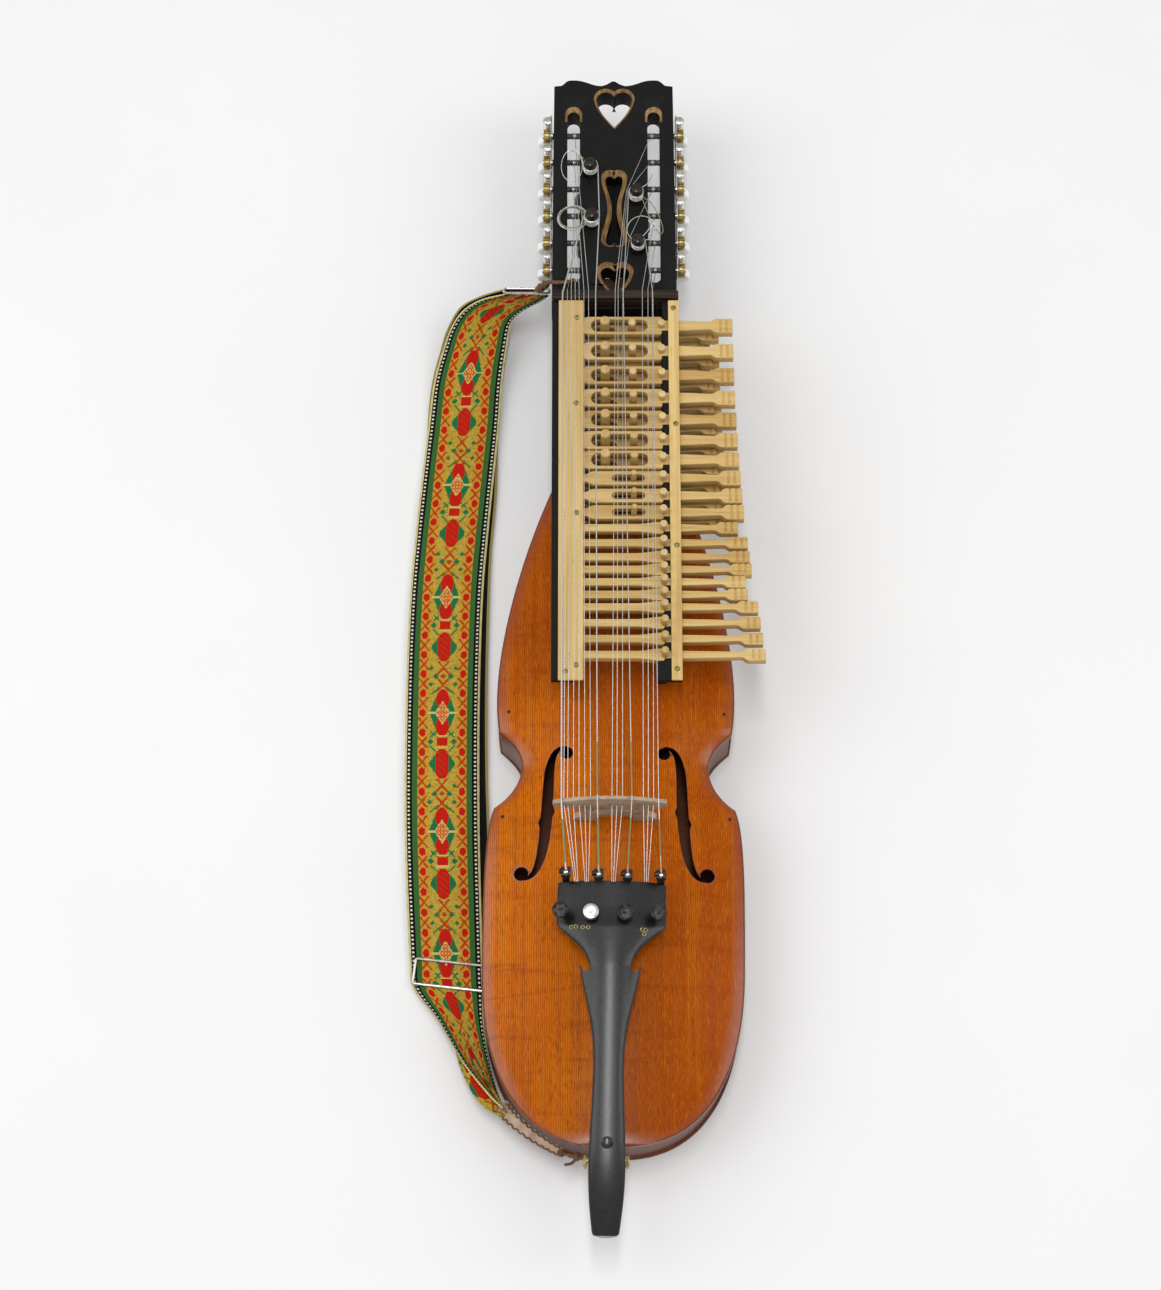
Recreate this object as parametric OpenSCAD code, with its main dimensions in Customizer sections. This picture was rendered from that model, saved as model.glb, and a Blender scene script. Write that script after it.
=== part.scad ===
/* [Strings] */
// Vibrating length from the nut to the bridge
scale_length = 400; // [396:1:404]
// Height of the playing strings above the back at the nut
nut_top = 101; // [100:0.5:102]
// Height of the bridge's top edge above the back
bridge_top = 114.5; // [112:0.5:117]

/* [Body] */
// Half width of the lower bout
lower_half = 95; // [92:1:98]
// Height of the ribs above the flat back
rib_top = 48; // [44:1:50]
// Thickness of the soundboard
top_thick = 3.5; // [3:0.1:4.5]
// Rise of the soundboard's arch over its edge
arch_rise = 13; // [9:1:14]
// Turn of the body's centreline away from the strings, in degrees
body_skew = 0.7; // [0:0.1:1]

/* [Key box] */
// Width over the two side boards
box_width = 96; // [96:0.5:98]
// Sideways shift of the neck, key box and head from the centre of the back
neck_shift = 1.5; // [1:0.5:2]
// Height of the upper row of keys above the back
key_top = 96; // [95:0.5:96.5]
// Thickness of a key bar
key_thick = 8; // [7:0.5:8]
// Height from one row of keys to the next
row_pitch = 14; // [13.5:0.5:14]
// Travel of a key from rest until its tangent meets the string
key_travel = 2.5; // [2:0.1:2.6]
// Gap between a key and its slot on each side
slot_gap = 0.4; // [0.3:0.1:0.5]

/* [Head] */
// Length of the head beyond the nut
head_length = 196; // [194:1:200]
// Thickness of the head
head_thick = 22; // [20:1:22]
// Height of the head's face above the back
head_face = 84; // [82:1:84]
// Radius of a friction peg's shaft
peg_radius = 5; // [4.5:0.1:5.2]
// Running clearance around a peg in its bore
peg_clearance = 0.05; // [0.02:0.01:0.1]

/* [Strap] */
// Thickness of the doubled webbing
strap_thick = 3; // [2:0.5:4]

/* [Hidden] */
$fn = 48;
A_KEYS = 20;
C_KEYS = 10;
G_KEYS = 7;
PEGS = ["g_peg", "drone_peg", "c_peg", "a_peg"];
function key_name(row, k) = str(row, "_key_", k < 10 ? "0" : "", k);

// ---- Curves shared by the sub-parts ----
function bezier(a, b, c, d, t) =
    a * pow(1 - t, 3) + b * 3 * t * pow(1 - t, 2) + c * 3 * t * t * (1 - t) + d * pow(t, 3);
function curve(a, b, c, d, n) = [for (i = [1:n]) bezier(a, b, c, d, i / n)];
function mirrored(half) = concat(half, [for (i = [len(half) - 1:-1:0]) [-half[i][0], half[i][1]]]);

// ---- Body outline: tail curve, lower bout, waist and upper bout ----
tail_end = -238.5;
body_end = 263;
tail_centre = -100;
tail_power = 0.8;
corner_low = [lower_half - 6.5, 10.5];
waist = [lower_half - 26.2, 42];
corner_high = [lower_half - 9, 69];
function body_half(inset) = [for (p = concat(
    [for (t = [84:-8:4]) [lower_half * pow(cos(t), tail_power),
                          tail_centre + (tail_end - tail_centre) * pow(sin(t), tail_power)]],
    curve([lower_half, -100], [lower_half, -60], [lower_half + 1, -8], corner_low, 5),
    curve(corner_low, [lower_half - 15, 16], [lower_half - 26, 28], waist, 5),
    curve(waist, [lower_half - 26.2, 54], [lower_half - 17, 62], corner_high, 4),
    curve(corner_high, [lower_half, 118], [lower_half - 21, 205], [50, body_end], 10)))
    [p[0] - inset, p[1] < 0 ? p[1] * (1 + inset / tail_end) : p[1] * (1 - inset / body_end)]];

// Rise of the arch along the body: full in the middle, none at the tail, half at the neck
function arch_along(y) = y < tail_centre
    ? 1 - pow((tail_centre - y) / (tail_centre - tail_end), 2)
    : y > 100 ? 1 - 0.5 * pow((y - 100) / (body_end - 100), 2) : 1;
ARCH_STEPS = 8;
function arch_row(w, y, z) = [for (j = [-ARCH_STEPS:ARCH_STEPS])
    [w * j / ARCH_STEPS, y, z + arch_rise * arch_along(y) * (1 - pow(j / ARCH_STEPS, 2))]];

module f_hole() {
    stem_top = [[36, 54.5], [44, 55.5], [48, 47], [48.6, 30]];
    stem_low = [[48.6, 30], [50, -16], [52, -46], [67, -46]];
    path = concat([stem_top[0]], curve(stem_top[0], stem_top[1], stem_top[2], stem_top[3], 6),
                  curve(stem_low[0], stem_low[1], stem_low[2], stem_low[3], 10));
    count = len(path) - 1;
    function half_width(i) = 1.6 + 2.8 * sin(180 * i / count);
    function normal(i) = let(d = path[min(i + 1, count)] - path[max(i - 1, 0)]) [-d[1], d[0]] / norm(d);
    polygon(concat([for (i = [0:count]) path[i] + normal(i) * half_width(i)],
                   [for (i = [count:-1:0]) path[i] - normal(i) * half_width(i)]));
    translate([36, 50.6]) circle(r = 4.8);
    translate([68, -41.8]) circle(r = 5.4);
}

// ---- Body ----
back_thick = 3;
module back_plate() {
    color("saddlebrown") rotate([0, 0, -body_skew])
        linear_extrude(back_thick) polygon(mirrored(body_half(0)));
}

module ribs() {
    color("sienna") rotate([0, 0, -body_skew]) {
        translate([0, 0, back_thick]) linear_extrude(rib_top - back_thick) difference() {
            polygon(mirrored(body_half(1.5)));
            polygon(mirrored(body_half(4)));
        }
        // Tail block and neck block
        translate([-20, tail_end + 4.2, back_thick]) cube([40, 20, rib_top - back_thick]);
        translate([-36, body_end - 26, back_thick]) cube([72, 22, rib_top - back_thick]);
    }
}

module soundboard() {
    half = body_half(0);
    rows = len(half);
    across = 2 * ARCH_STEPS + 1;
    layer = rows * across;
    points = concat([for (p = half) each arch_row(p[0], p[1], rib_top + top_thick)],
                    [for (p = half) each arch_row(p[0], p[1], rib_top)]);
    function at(i, j) = i * across + j;
    top_faces = [for (i = [0:rows - 2], j = [0:across - 2])
        each [[at(i, j), at(i + 1, j), at(i + 1, j + 1)], [at(i, j), at(i + 1, j + 1), at(i, j + 1)]]];
    low_faces = [for (f = top_faces) [f[2] + layer, f[1] + layer, f[0] + layer]];
    rim = concat([for (j = [0:across - 1]) at(0, j)], [for (i = [1:rows - 1]) at(i, across - 1)],
                 [for (j = [across - 2:-1:0]) at(rows - 1, j)], [for (i = [rows - 2:-1:1]) at(i, 0)]);
    side_faces = [for (i = [0:len(rim) - 1]) let(a = rim[i], b = rim[(i + 1) % len(rim)])
        each [[a, b, b + layer], [a, b + layer, a + layer]]];
    color("peru") rotate([0, 0, -body_skew]) difference() {
        polyhedron(points, concat(top_faces, low_faces, side_faces));
        for (side = [0, 1]) mirror([side, 0, 0])
            translate([0, 0, rib_top - 1]) linear_extrude(arch_rise + top_thick + 5) f_hole();
    }
}

module bass_bar() {
    color("wheat") translate([-22, -120, rib_top - 1]) cube([6, 230, 8]);
}

module sound_post() {
    color("wheat") translate([22, -8, back_thick]) cylinder(r = 3, h = rib_top + 8.5 - back_thick);
}

// ---- Neck and head ----
neck_top = 58;
head_start = scale_length + 1;
head_back = head_face - head_thick;
module neck_section(y, width, low, high) {
    translate([neck_shift, y, 0]) rotate([90, 0, 0]) linear_extrude(1) polygon(
        [[-width / 2, high], [width / 2, high], [width / 2, low + 14], [width / 3, low + 4],
         [width / 6, low], [-width / 6, low], [-width / 3, low + 4], [-width / 2, low + 14]]);
}
module neck() {
    heel = body_end + 2;
    color([0.16, 0.07, 0.04]) {
        hull() {
            neck_section(heel, 62, 8, neck_top);
            neck_section(head_start, 62, 26, neck_top);
        }
        hull() {
            neck_section(head_start, 62, 26, head_back);
            neck_section(head_start + 36, 52, 44, head_back);
        }
    }
}

slot_width = 9.8;
slot_start = 423;
slot_length = 149;
slot_offset = 31.3;
tuner_count = 6;
tuner_pitch = 23.4;
tuner_first = 438;
post_height = head_face - 10;
module heart(width, height) {
    lobe = width / 4;
    translate([0, height - lobe]) {
        for (side = [-1, 1]) translate([side * lobe * 0.95, 0]) circle(r = lobe * 1.05);
        polygon([[-width / 2, -lobe * 0.35], [0, lobe - height], [width / 2, -lobe * 0.35], [0, lobe * 0.3]]);
    }
}
// Two hearts tip to tip, joined through a narrow waist
module hourglass() {
    side = concat(curve([9.9, -26], [9.9, -16], [3.2, -12], [3.2, 0], 6),
                  curve([3.2, 0], [3.2, 12], [9.9, 16], [9.9, 26], 6));
    for (flip = [0, 1]) mirror([0, flip]) for (lobe = [-5, 5]) translate([lobe, 28.6]) circle(r = 5.6);
    polygon(mirrored(side));
}
module head_outline() {
    crown = head_length + head_start - 6;
    half = concat([[box_width / 2, head_start - 0.5], [box_width / 2 - 1.5, crown + 3]],
        curve([box_width / 2 - 5, crown + 3.5], [box_width / 2 - 10, crown + 3],
              [box_width / 2 - 9, crown + 9], [box_width / 2 - 16, crown + 8.5], 5),
        curve([box_width / 2 - 16, crown + 8.5], [22, crown + 9], [18, crown + 3.5], [9, crown + 3.5], 6),
        [[5, crown + 5], [0, crown + 8]]);
    polygon(mirrored(half));
}
module head() {
    color([0.05, 0.05, 0.05]) difference() {
        translate([neck_shift - 0.6, 0, head_back]) linear_extrude(head_thick) head_outline();
        translate([neck_shift, 0, head_back - 1]) linear_extrude(head_thick + 2) {
            for (side = [-1, 1]) translate([side * slot_offset - 0.6, slot_start]) {
                translate([-slot_width / 2, slot_width / 2]) square([slot_width, slot_length - slot_width]);
                for (end = [slot_width / 2, slot_length - slot_width / 2])
                    translate([0, end]) circle(d = slot_width);
            }
            translate([0, 556.5]) heart(32.5, 35);
            translate([0, 409.5]) heart(28.5, 29);
        }
        // The hourglass is sunk, with a thin floor left under it
        translate([neck_shift, 485.5, head_back + 4]) linear_extrude(head_thick) hourglass();
        for (side = [-1, 1], i = [0:tuner_count - 1])
            translate([neck_shift - 0.6, tuner_first + i * tuner_pitch, post_height])
                rotate([0, side * 90, 0]) cylinder(r = 2.05, h = 60);
        for (p = peg_places) translate([p[0], p[1], head_back - 1])
            cylinder(r = peg_radius + peg_clearance, h = head_thick + 2);
    }
}

// Places of the friction pegs, in the order of the list of peg names
peg_places = [[-17.5, 517], [-16.4, 473], [18, 494], [19, 451]];
peg_handle = 12;
module peg(i) {
    color([0.07, 0.06, 0.06]) translate([peg_places[i][0], peg_places[i][1], 0]) {
        translate([0, 0, head_back - 6]) cylinder(r = peg_radius, h = head_thick + 26);
        translate([0, 0, head_back - 9]) cylinder(r = peg_radius + 2, h = 6);
        translate([0, 0, head_back - 14]) cylinder(r = 4, h = 6);
        translate([0, 0, head_back - 24]) rotate([90, 0, 0]) translate([0, 0, -3.8]) cylinder(r = peg_handle, h = 7.6);
    }
}

module nut() {
    color([0.2, 0.1, 0.06]) translate([neck_shift - box_width / 2, head_start + 0.5, head_face])
        cube([box_width, 6.5, nut_top - head_face - 0.3]);
}

// ---- Machine heads of the sympathetic strings ----
head_side = box_width / 2 + 0.2;
module machine_head() {
    rotate([0, 90, 0]) translate([0, 0, slot_offset - slot_width / 2 - 3]) cylinder(r = 2, h = 27);
    translate([head_side, -5, -8]) cube([1.2, 20, 16]);
    translate([head_side + 1, 0, 0]) rotate([0, 90, 0]) cylinder(r = 5, h = 4);
    translate([head_side + 3.4, 9.4, -20]) cylinder(r = 1.6, h = 24);
    translate([head_side + 3.4, 9.4, -4.5]) cylinder(r = 3.2, h = 11);
    translate([head_side + 3.4, 9.4, -27]) intersection() {
        rotate([90, 0, 0]) cylinder(r = 9, h = 7, center = true);
        translate([-9, -3.5, -7]) cube([18, 7, 14]);
    }
}
module sympathetic_tuners() {
    color("silver") translate([neck_shift - 0.6, 0, post_height])
        for (side = [0, 1], i = [0:tuner_count - 1])
            mirror([side, 0, 0]) translate([0, tuner_first + i * tuner_pitch, 0]) machine_head();
}

// ---- Key box ----
board_end = 95;
board_thick = 5;
left_comb = neck_shift - box_width / 2 + board_thick;
left_comb_face = -30;
right_comb_face = 37;
right_side = neck_shift + box_width / 2;
box_over_body = 66;
function row_top(row) = key_top - row_pitch * (row == "a" ? 0 : row == "c" ? 1 : 2);
function row_count(row) = row == "a" ? A_KEYS : row == "c" ? C_KEYS : G_KEYS;

// Bars follow the notes, and keep a fixed pitch where the notes lie closer together than the bars
crowded_from = 13;
crowded_pitch = 9.9;
spread_from = 17;
spread_pitch = 12.4;
function note_y(k) = scale_length * pow(2, -k / 12);
function bar_y(k) = k <= crowded_from ? note_y(k) + 3
    : k <= spread_from ? bar_y(crowded_from) - crowded_pitch * (k - crowded_from)
    : bar_y(spread_from) - spread_pitch * (k - spread_from);
function bar_width(row, k) = k <= 7 ? 14.6 : k <= 10 ? (row == "a" ? 11 : 9) : 5.8;
function shoulder_width(row, k) = k <= 7 ? 14.6 : k <= 10 ? 11 : 9.3;
function stem_width(k) = k <= 7 ? 8.4 : k <= 10 ? 7 : 5.8;
tail_width = 5.8;

module key_slots(row) {
    for (k = [1:row_count(row)]) {
        height = row == "a" ? key_thick + 5 : key_thick + 2 * slot_gap;
        translate([left_comb + 1, bar_y(k) - tail_width / 2 - slot_gap, row_top(row) - key_thick - slot_gap])
            cube([30, tail_width + 2 * slot_gap, height]);
        translate([right_comb_face - 8, bar_y(k) - stem_width(k) / 2 - slot_gap,
                   row_top(row) - key_thick - slot_gap])
            cube([30, stem_width(k) + 2 * slot_gap, height]);
    }
}
module side_profile(x, thick) {
    sweep = curve([board_end, key_top - 5], [board_end + 4, key_top - 24],
                  [board_end + 26, box_over_body], [board_end + 60, box_over_body], 8);
    translate([x, 0, 0]) rotate([90, 0, 90]) linear_extrude(thick) polygon(concat(
        [[board_end, key_top + 0.3], [board_end, key_top - 5]], sweep,
        [[body_end + 2, box_over_body], [body_end + 2, 44], [head_start - 0.5, 44],
         [head_start - 0.5, key_top + 0.3]]));
}
module key_box_boards() {
    color([0.08, 0.08, 0.08]) difference() {
        union() {
            side_profile(neck_shift - box_width / 2, left_comb_face - neck_shift + box_width / 2);
            side_profile(right_comb_face, right_side - right_comb_face);
            // End block of the right board
            translate([31, board_end, key_top - 9]) cube([7, 14.5, 9.3]);
        }
        for (row = ["a", "c", "g"]) key_slots(row);
    }
}

rail_thick = 2.2;
left_rail = [left_comb, -22.8];
right_rail = [41.5, right_side];
module cap_rails() {
    color("burlywood") for (r = [left_rail, right_rail])
        translate([r[0], board_end - 0.5, key_top + 0.3])
            cube([r[1] - r[0], head_start - board_end, rail_thick]);
}

screw_rows = [[-27.8, 386], [-28.4, 315], [-27.9, 226], [-28.4, 106], [-36.2, 101],
              [45.5, 394], [46.5, 298], [46.3, 200], [45.6, 103]];
module rail_screws() {
    color("darkgoldenrod") for (s = screw_rows)
        translate([s[0], s[1], key_top + 0.3 + rail_thick]) intersection() {
            translate([0, 0, -2.2]) sphere(r = 3, $fn = 24);
            cylinder(r = 2, h = 2);
        }
}

// ---- Keys ----
// Playing strings: place at the nut, place at the bridge, and height over the bridge
string_ends = [["g", -13, -13.5, 113.5], ["drone", -38.7, -38.6, 107.3],
               ["c", 11.6, 7.5, 114], ["a", 30.8, 30, 107.6]];
function string_data(row) = string_ends[row == "g" ? 0 : row == "drone" ? 1 : row == "c" ? 2 : 3];
function string_x(row, y) = let(s = string_data(row)) s[2] + (s[1] - s[2]) * y / scale_length;
function string_z(row, y) = let(s = string_data(row)) s[3] + (nut_top - s[3]) * y / scale_length;
function tangent_radius(row, k) = row == "g" ? 3.6 : row == "c" ? (k <= 7 ? 2.9 : 2.2) : 2.8;
function tangent_x(row, k) = string_x(row, bar_y(k)) + key_travel + tangent_radius(row, k) + 0.9;
function tangent_top(row, k) = string_z(row, bar_y(k)) + (row == "g" ? 4 : 1.2);
function reach(row, k) = 90.5 + 20 * pow((k - 1) / (A_KEYS - 1), 1.6)
    - (k == 11 || k == 15 || k == 16 ? 6 : 0) - (row == "a" ? 0 : row == "c" ? 10 : 16);
paddle_length = 13.5;
function paddle_width(k) = k <= 10 ? 11.8 : 9.3;

// Outline of one side of a key, from the tail in the left board to the paddle
function key_half(row, k) = let(
    w = bar_width(row, k) / 2, s = shoulder_width(row, k) / 2, n = stem_width(k) / 2,
    t = tail_width / 2, p = paddle_width(k) / 2, e = reach(row, k), b = e - paddle_length,
    widen = k <= 7 ? left_comb_face + 3.2 : -22)
    concat([[left_comb + key_travel + 1.8, t], [widen, t]],
        w > t ? curve([widen, t], [widen + 3, t], [widen + 3, w], [widen + 8, w], 4) : [],
        s > w ? curve([14, w], [22, w], [26, s - 0.6], [right_comb_face - 6, s], 4) : [],
        [[right_comb_face - 0.4, s], [right_comb_face - 0.4, n], [right_side + 2, n]],
        curve([right_side + 2, n], [b - 14, n - 0.4], [b - 8, n - 0.9], [b - 5, n - 0.9], 3),
        curve([b - 5, n - 0.9], [b - 1, n - 0.9], [b - 2, p], [b + 3, p], 5),
        [[e, p]]);
module rounded_window(x_low, x_high, width) {
    translate([x_low + width / 2, -width / 2]) square([x_high - x_low - width, width]);
    for (x = [x_low + width / 2, x_high - width / 2]) translate([x, 0]) circle(d = width);
}
module string_key(row, k) {
    half = key_half(row, k);
    color("navajowhite") translate([0, bar_y(k), 0]) {
        difference() {
            translate([0, 0, row_top(row) - key_thick]) linear_extrude(key_thick) difference() {
                polygon(concat(half, [for (i = [len(half) - 1:-1:0]) [half[i][0], -half[i][1]]]));
                if (row != "g" && k <= 7) rounded_window(-17, row == "a" ? 26 : 3, 10);
                if (row == "a" && k > 7 && k <= 10) rounded_window(-1.5, 23, 5.8);
            }
            // Two grooves across the paddle
            for (groove = [0.33, 0.67]) translate([reach(row, k) - paddle_length * groove, 0, row_top(row)])
                rotate([90, 0, 0]) cylinder(r = 1, h = 20, center = true);
        }
        translate([tangent_x(row, k), 0, row_top(row) - 1])
            cylinder(r = tangent_radius(row, k), h = tangent_top(row, k) - row_top(row) + 1);
    }
}

// ---- Bridge, strings and tail ----
bridge_foot = rib_top + top_thick + arch_rise;
module bridge() {
    arc_rise = 10.3;
    half = 40.6;
    profile = concat(
        [for (i = [-10:10]) [-4 + half * i / 10, bridge_top - arc_rise * pow(i / 10, 2)]],
        curve([36.6, bridge_top - arc_rise], [39, bridge_top - 17], [34, bridge_top - 21], [26, bridge_top - 23], 4),
        [[25, bridge_foot + 10], [30.5, bridge_foot + 5], [30.5, bridge_foot - 1.3], [13, bridge_foot - 0.1],
         [13, bridge_foot + 6]],
        curve([13, bridge_foot + 6], [8, bridge_foot + 14], [-8, bridge_foot + 14], [-13, bridge_foot + 6], 6),
        [[-13, bridge_foot - 0.1], [-30.5, bridge_foot - 1.3], [-30.5, bridge_foot + 5], [-26, bridge_foot + 10]],
        curve([-27, bridge_top - 23], [-39, bridge_top - 21], [-47, bridge_top - 17], [-44.6, bridge_top - arc_rise], 4));
    color("wheat") rotate([90, 0, 0]) translate([0, 0, -2.2]) linear_extrude(4.4) difference() {
        polygon(profile);
        for (x = sympathetic_bridge) translate([x, sympathetic_height]) circle(r = 1.1, $fn = 16);
        for (x = [-16, 12]) translate([x, bridge_foot + 23]) circle(r = 3.5);
    }
}

sympathetic_nut = [-35, -32, -29, -26, -22.4, -18.9, 1.4, 3.6, 7.1, 22, 26.3, 29.6];
sympathetic_bridge = [-37, -34.3, -30.2, -26.1, -21.9, -17.8, -2.5, 1.1, 5.1, 20, 23.6, 27.4];
sympathetic_groups = [-28, -28, -28, -20.5, -20.5, -20.5, -1.5, -1.5, -1.5, 22, 22, 22];
sympathetic_height = 102;
nut_end = head_start + 7.3;
SIDES = 6;
function ring(p, d, r) = let(
    u = d / norm(d), side = cross([0, 0, 1], u), a = side / norm(side), b = cross(u, a))
    [for (i = [0:SIDES - 1]) p + r * (cos(360 * i / SIDES) * a + sin(360 * i / SIDES) * b)];
module wire(path, r) {
    last = len(path) - 1;
    points = [for (i = [0:last]) each ring(path[i], path[min(i + 1, last)] - path[max(i - 1, 0)], r)];
    walls = [for (i = [0:last - 1], j = [0:SIDES - 1]) let(a = i * SIDES + j, b = i * SIDES + (j + 1) % SIDES)
        each [[a, b + SIDES, b], [a, a + SIDES, b + SIDES]]];
    polyhedron(points, concat(walls, [[for (j = [0:SIDES - 1]) j]],
                              [[for (j = [SIDES - 1:-1:0]) last * SIDES + j]]));
}
playing_radius = [0.5, 0.65, 0.4, 0.3];
// The thick g string leans on the drone's peg on its way to its own
function string_end(i) = let(r = playing_radius[i], gap = peg_radius + r + 0.4, p = peg_places[i])
    concat(i == 0 ? [[peg_places[1][0] + gap, peg_places[1][1], head_face + 15]] : [],
           [[p[0] + (i == 1 || i == 2 ? -gap : gap), p[1], head_face + 13]]);
// A sympathetic string runs to its post, and the middle group first passes between the pegs
slot_edge = slot_offset - slot_width / 2 + 1.5;
function sympathetic_end(i) = let(
    left = i < 6, n = left ? i : 11 - i, side = left ? -1 : 1,
    post = [side * slot_offset + 0.9 + side * (2.5 - n) * 0.4, tuner_first + n * tuner_pitch - 1.6, post_height + 2.3],
    past = i == 8 ? [12.6, 456, 93] : [i - 6 + 10.6, 497, 93],
    share = (slot_edge - past[0]) / (post[0] - past[0]))
    i < 6 || i > 8 ? [post]
        : [past, [slot_edge, past[1] + (post[1] - past[1]) * share, head_face + 0.5], post];
module strings() {
    color("gainsboro") {
        for (i = [0:3]) let(s = string_ends[i], k = knob_places[[1, 0, 2, 3][i]], r = playing_radius[i])
            wire(concat([[tail_place[0] + k[2], tail_place[1] + k[1] + 32.7, 90],
                         [s[2], -2.4, s[3] + r + 1], [s[2], 2.4, s[3] + r + 1],
                         [s[1], head_start + 4, nut_top + r]], string_end(i)), r);
        for (i = [0:11])
            wire(concat([[sympathetic_groups[i] + (i % 3 - 1) * 1.2, -55, 88.6],
                         [sympathetic_bridge[i], 0, sympathetic_height],
                         [sympathetic_nut[i], head_start + 0.3, nut_top], [sympathetic_nut[i], nut_end, nut_top]],
                        sympathetic_end(i)), 0.22);
    }
}

// The tailpiece is drawn from its upper edge, y = 0, towards the tail
function tailpiece_half() = concat(
    [[38, 0], [38.8, -1.5], [39.2, -31]],
    curve([39.2, -31], [34, -40], [20, -46], [16, -58], 6),
    curve([16, -58], [14, -66], [17, -70], [20.5, -65.5], 4),
    curve([20.5, -65.5], [17, -88], [8.4, -100], [8.2, -128], 6),
    curve([8.2, -128], [8.2, -155], [11.5, -180], [11.5, -205], 5),
    curve([11.5, -205], [11.5, -225], [9, -240], [8.5, -250], 4),
    [[6, -252]]);
function tailpiece_crown() = concat([[0, 86]],
    curve([0, 86], [-60, 90], [-120, 86], [-180, 80], 8),
    curve([-180, 80], [-215, 76.5], [-240, 70], [-252, 62], 6));
tail_place = [-2.4, -53, 0];
module tailpiece() {
    crown = tailpiece_crown();
    color([0.06, 0.06, 0.06]) translate(tail_place) rotate([0, 0, -1.2]) intersection() {
        linear_extrude(120) polygon(mirrored(tailpiece_half()));
        rotate([90, 0, 90]) translate([0, 0, -50]) linear_extrude(100) polygon(concat(
            crown, [for (i = [len(crown) - 1:-1:0]) [crown[i][0], crown[i][1] - 9]]));
        translate([0, 20, 90 - 120]) rotate([90, 0, 0]) cylinder(r = 120, h = 300, $fn = 96);
    }
}

// Place of each knob, and across from it the place of its fork
knob_places = [[-37, -23.5, -33.1], [-15.2, -25, -9.6], [9.4, -25.5, 11], [33, -25.8, 35]];
module fine_tuners() {
    color("dimgray") translate(tail_place) for (p = knob_places) {
        translate([p[0], p[1], 88]) cylinder(r = 5.6, h = 7);
        translate([p[2] - 2.2, p[1], 88.5]) cube([4.4, 30, 3]);
        translate([p[2] - 3.4, p[1] + 26, 86]) cube([6.8, 6, 7]);
    }
}

pin_height = 30;
module tail_loop() {
    color("goldenrod") {
        translate([-6.5, tail_end - 1.2, pin_height]) rotate([-90, 0, 0]) translate([0, 0, -12]) {
            cylinder(r = 3.5, h = 12);
            cylinder(r = 6, h = 4);
        }
        for (side = [-1, 1]) translate([-6.8 + side * 14.8, -250, 0]) {
            translate([0, 0, 58]) rotate([0, 90, 0])
                rotate_extrude($fn = 24) translate([4.4, 0]) circle(r = 1, $fn = 16);
            wire([[0, 0, 53.5], [side * -2, 2, 44], [side * -7, 2.5, pin_height]], 0.9);
        }
        translate([-21, -250, 62.4]) rotate([0, 90, 0]) cylinder(r = 1, h = 28.4, $fn = 16);
    }
}

// ---- Shoulder strap, from the ring at the neck to the leather tab at the tail ----
// Each station is the centre of the webbing and the way from its centre to its outer edge
strap_route = [
    [-82, 429, 50, 3, 8, 4], [-92, 427, 40, -13, 9, 3], [-104, 408, 28, -20, 11, 0],
    [-112, 388, 18, -23, 12, 0], [-118, 348, 8, -25, 9, 0], [-126, 268, 3, -25, 6, 0],
    [-132, 176, 3, -26, 0, 0], [-132, 110, 3, -26, 0, 0], [-129, 48, 3, -26, -1, 0],
    [-126, -6, 3, -26, 0, 0], [-123, -93, 3, -26, 1, 0], [-122, -112, 3, -25, 2, 0],
    [-112, -140, 6, -16, 4, 0], [-99, -174, 12, -10, 4, 2], [-86, -198, 20, -5, 4, 4],
    [-76, -210, 24, -4, 4, 5]];
module strap() {
    last = len(strap_route) - 1;
    function place(i) = [for (a = [0:2]) strap_route[i][a]];
    function edge(i) = [for (a = [3:5]) strap_route[i][a]];
    function thick(i) = let(d = place(min(i + 1, last)) - place(max(i - 1, 0)), n = cross(edge(i), d))
        n / norm(n) * strap_thick / 2 * (n[2] < 0 ? -1 : 1);
    points = [for (i = [0:last]) each [place(i) + edge(i) + thick(i), place(i) - edge(i) + thick(i),
                                       place(i) - edge(i) - thick(i), place(i) + edge(i) - thick(i)]];
    walls = [for (i = [0:last - 1], j = [0:3]) let(a = i * 4 + j, b = i * 4 + (j + 1) % 4)
        each [[a, a + 4, b + 4], [a, b + 4, b]]];
    color("goldenrod") polyhedron(points, concat(walls, [[0, 1, 2, 3]], [[for (j = [3:-1:0]) last * 4 + j]]));
}
slider_place = [-150, -91, 5];
slider_turn = -6.5;
slider_size = [54, 19, 2];
module strap_fittings() {
    color("gray") {
        // Wire slider
        translate(slider_place) rotate([0, 0, slider_turn]) difference() {
            translate([0, -slider_size[1], 0]) cube(slider_size);
            translate([2, 2 - slider_size[1], -1]) cube(slider_size - [4, 4, -2]);
        }
        // Wire bar at the neck
        translate([-84, 429, 54]) cube([30, 2, 2]);
    }
    color("sienna") {
        // Leather thong round the neck
        wire([[-56, 430, 62], [-50.5, 426, 74], [-48.6, 423, 85], [-44, 421, 86.2], [-18, 420.5, 86.2]], 1.6);
        // Leather tab and lace at the tail
        wire([[-74, -212, 24], [-58, -226, 26], [-40, -238, 30], [-13.5, -242, 33]], 3);
    }
}

back_plate();
ribs();
soundboard();
bass_bar();
sound_post();
neck();
head();
nut();
bridge();
tailpiece();
fine_tuners();
tail_loop();
key_box_boards();
cap_rails();
rail_screws();
sympathetic_tuners();
strings();
strap();
strap_fittings();
for (i = [0:3]) peg(i);
for (k = [1:A_KEYS]) string_key("a", k);
for (k = [1:C_KEYS]) string_key("c", k);
for (k = [1:G_KEYS]) string_key("g", k);
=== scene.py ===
from math import cos, hypot, pi, radians, sin

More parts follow.
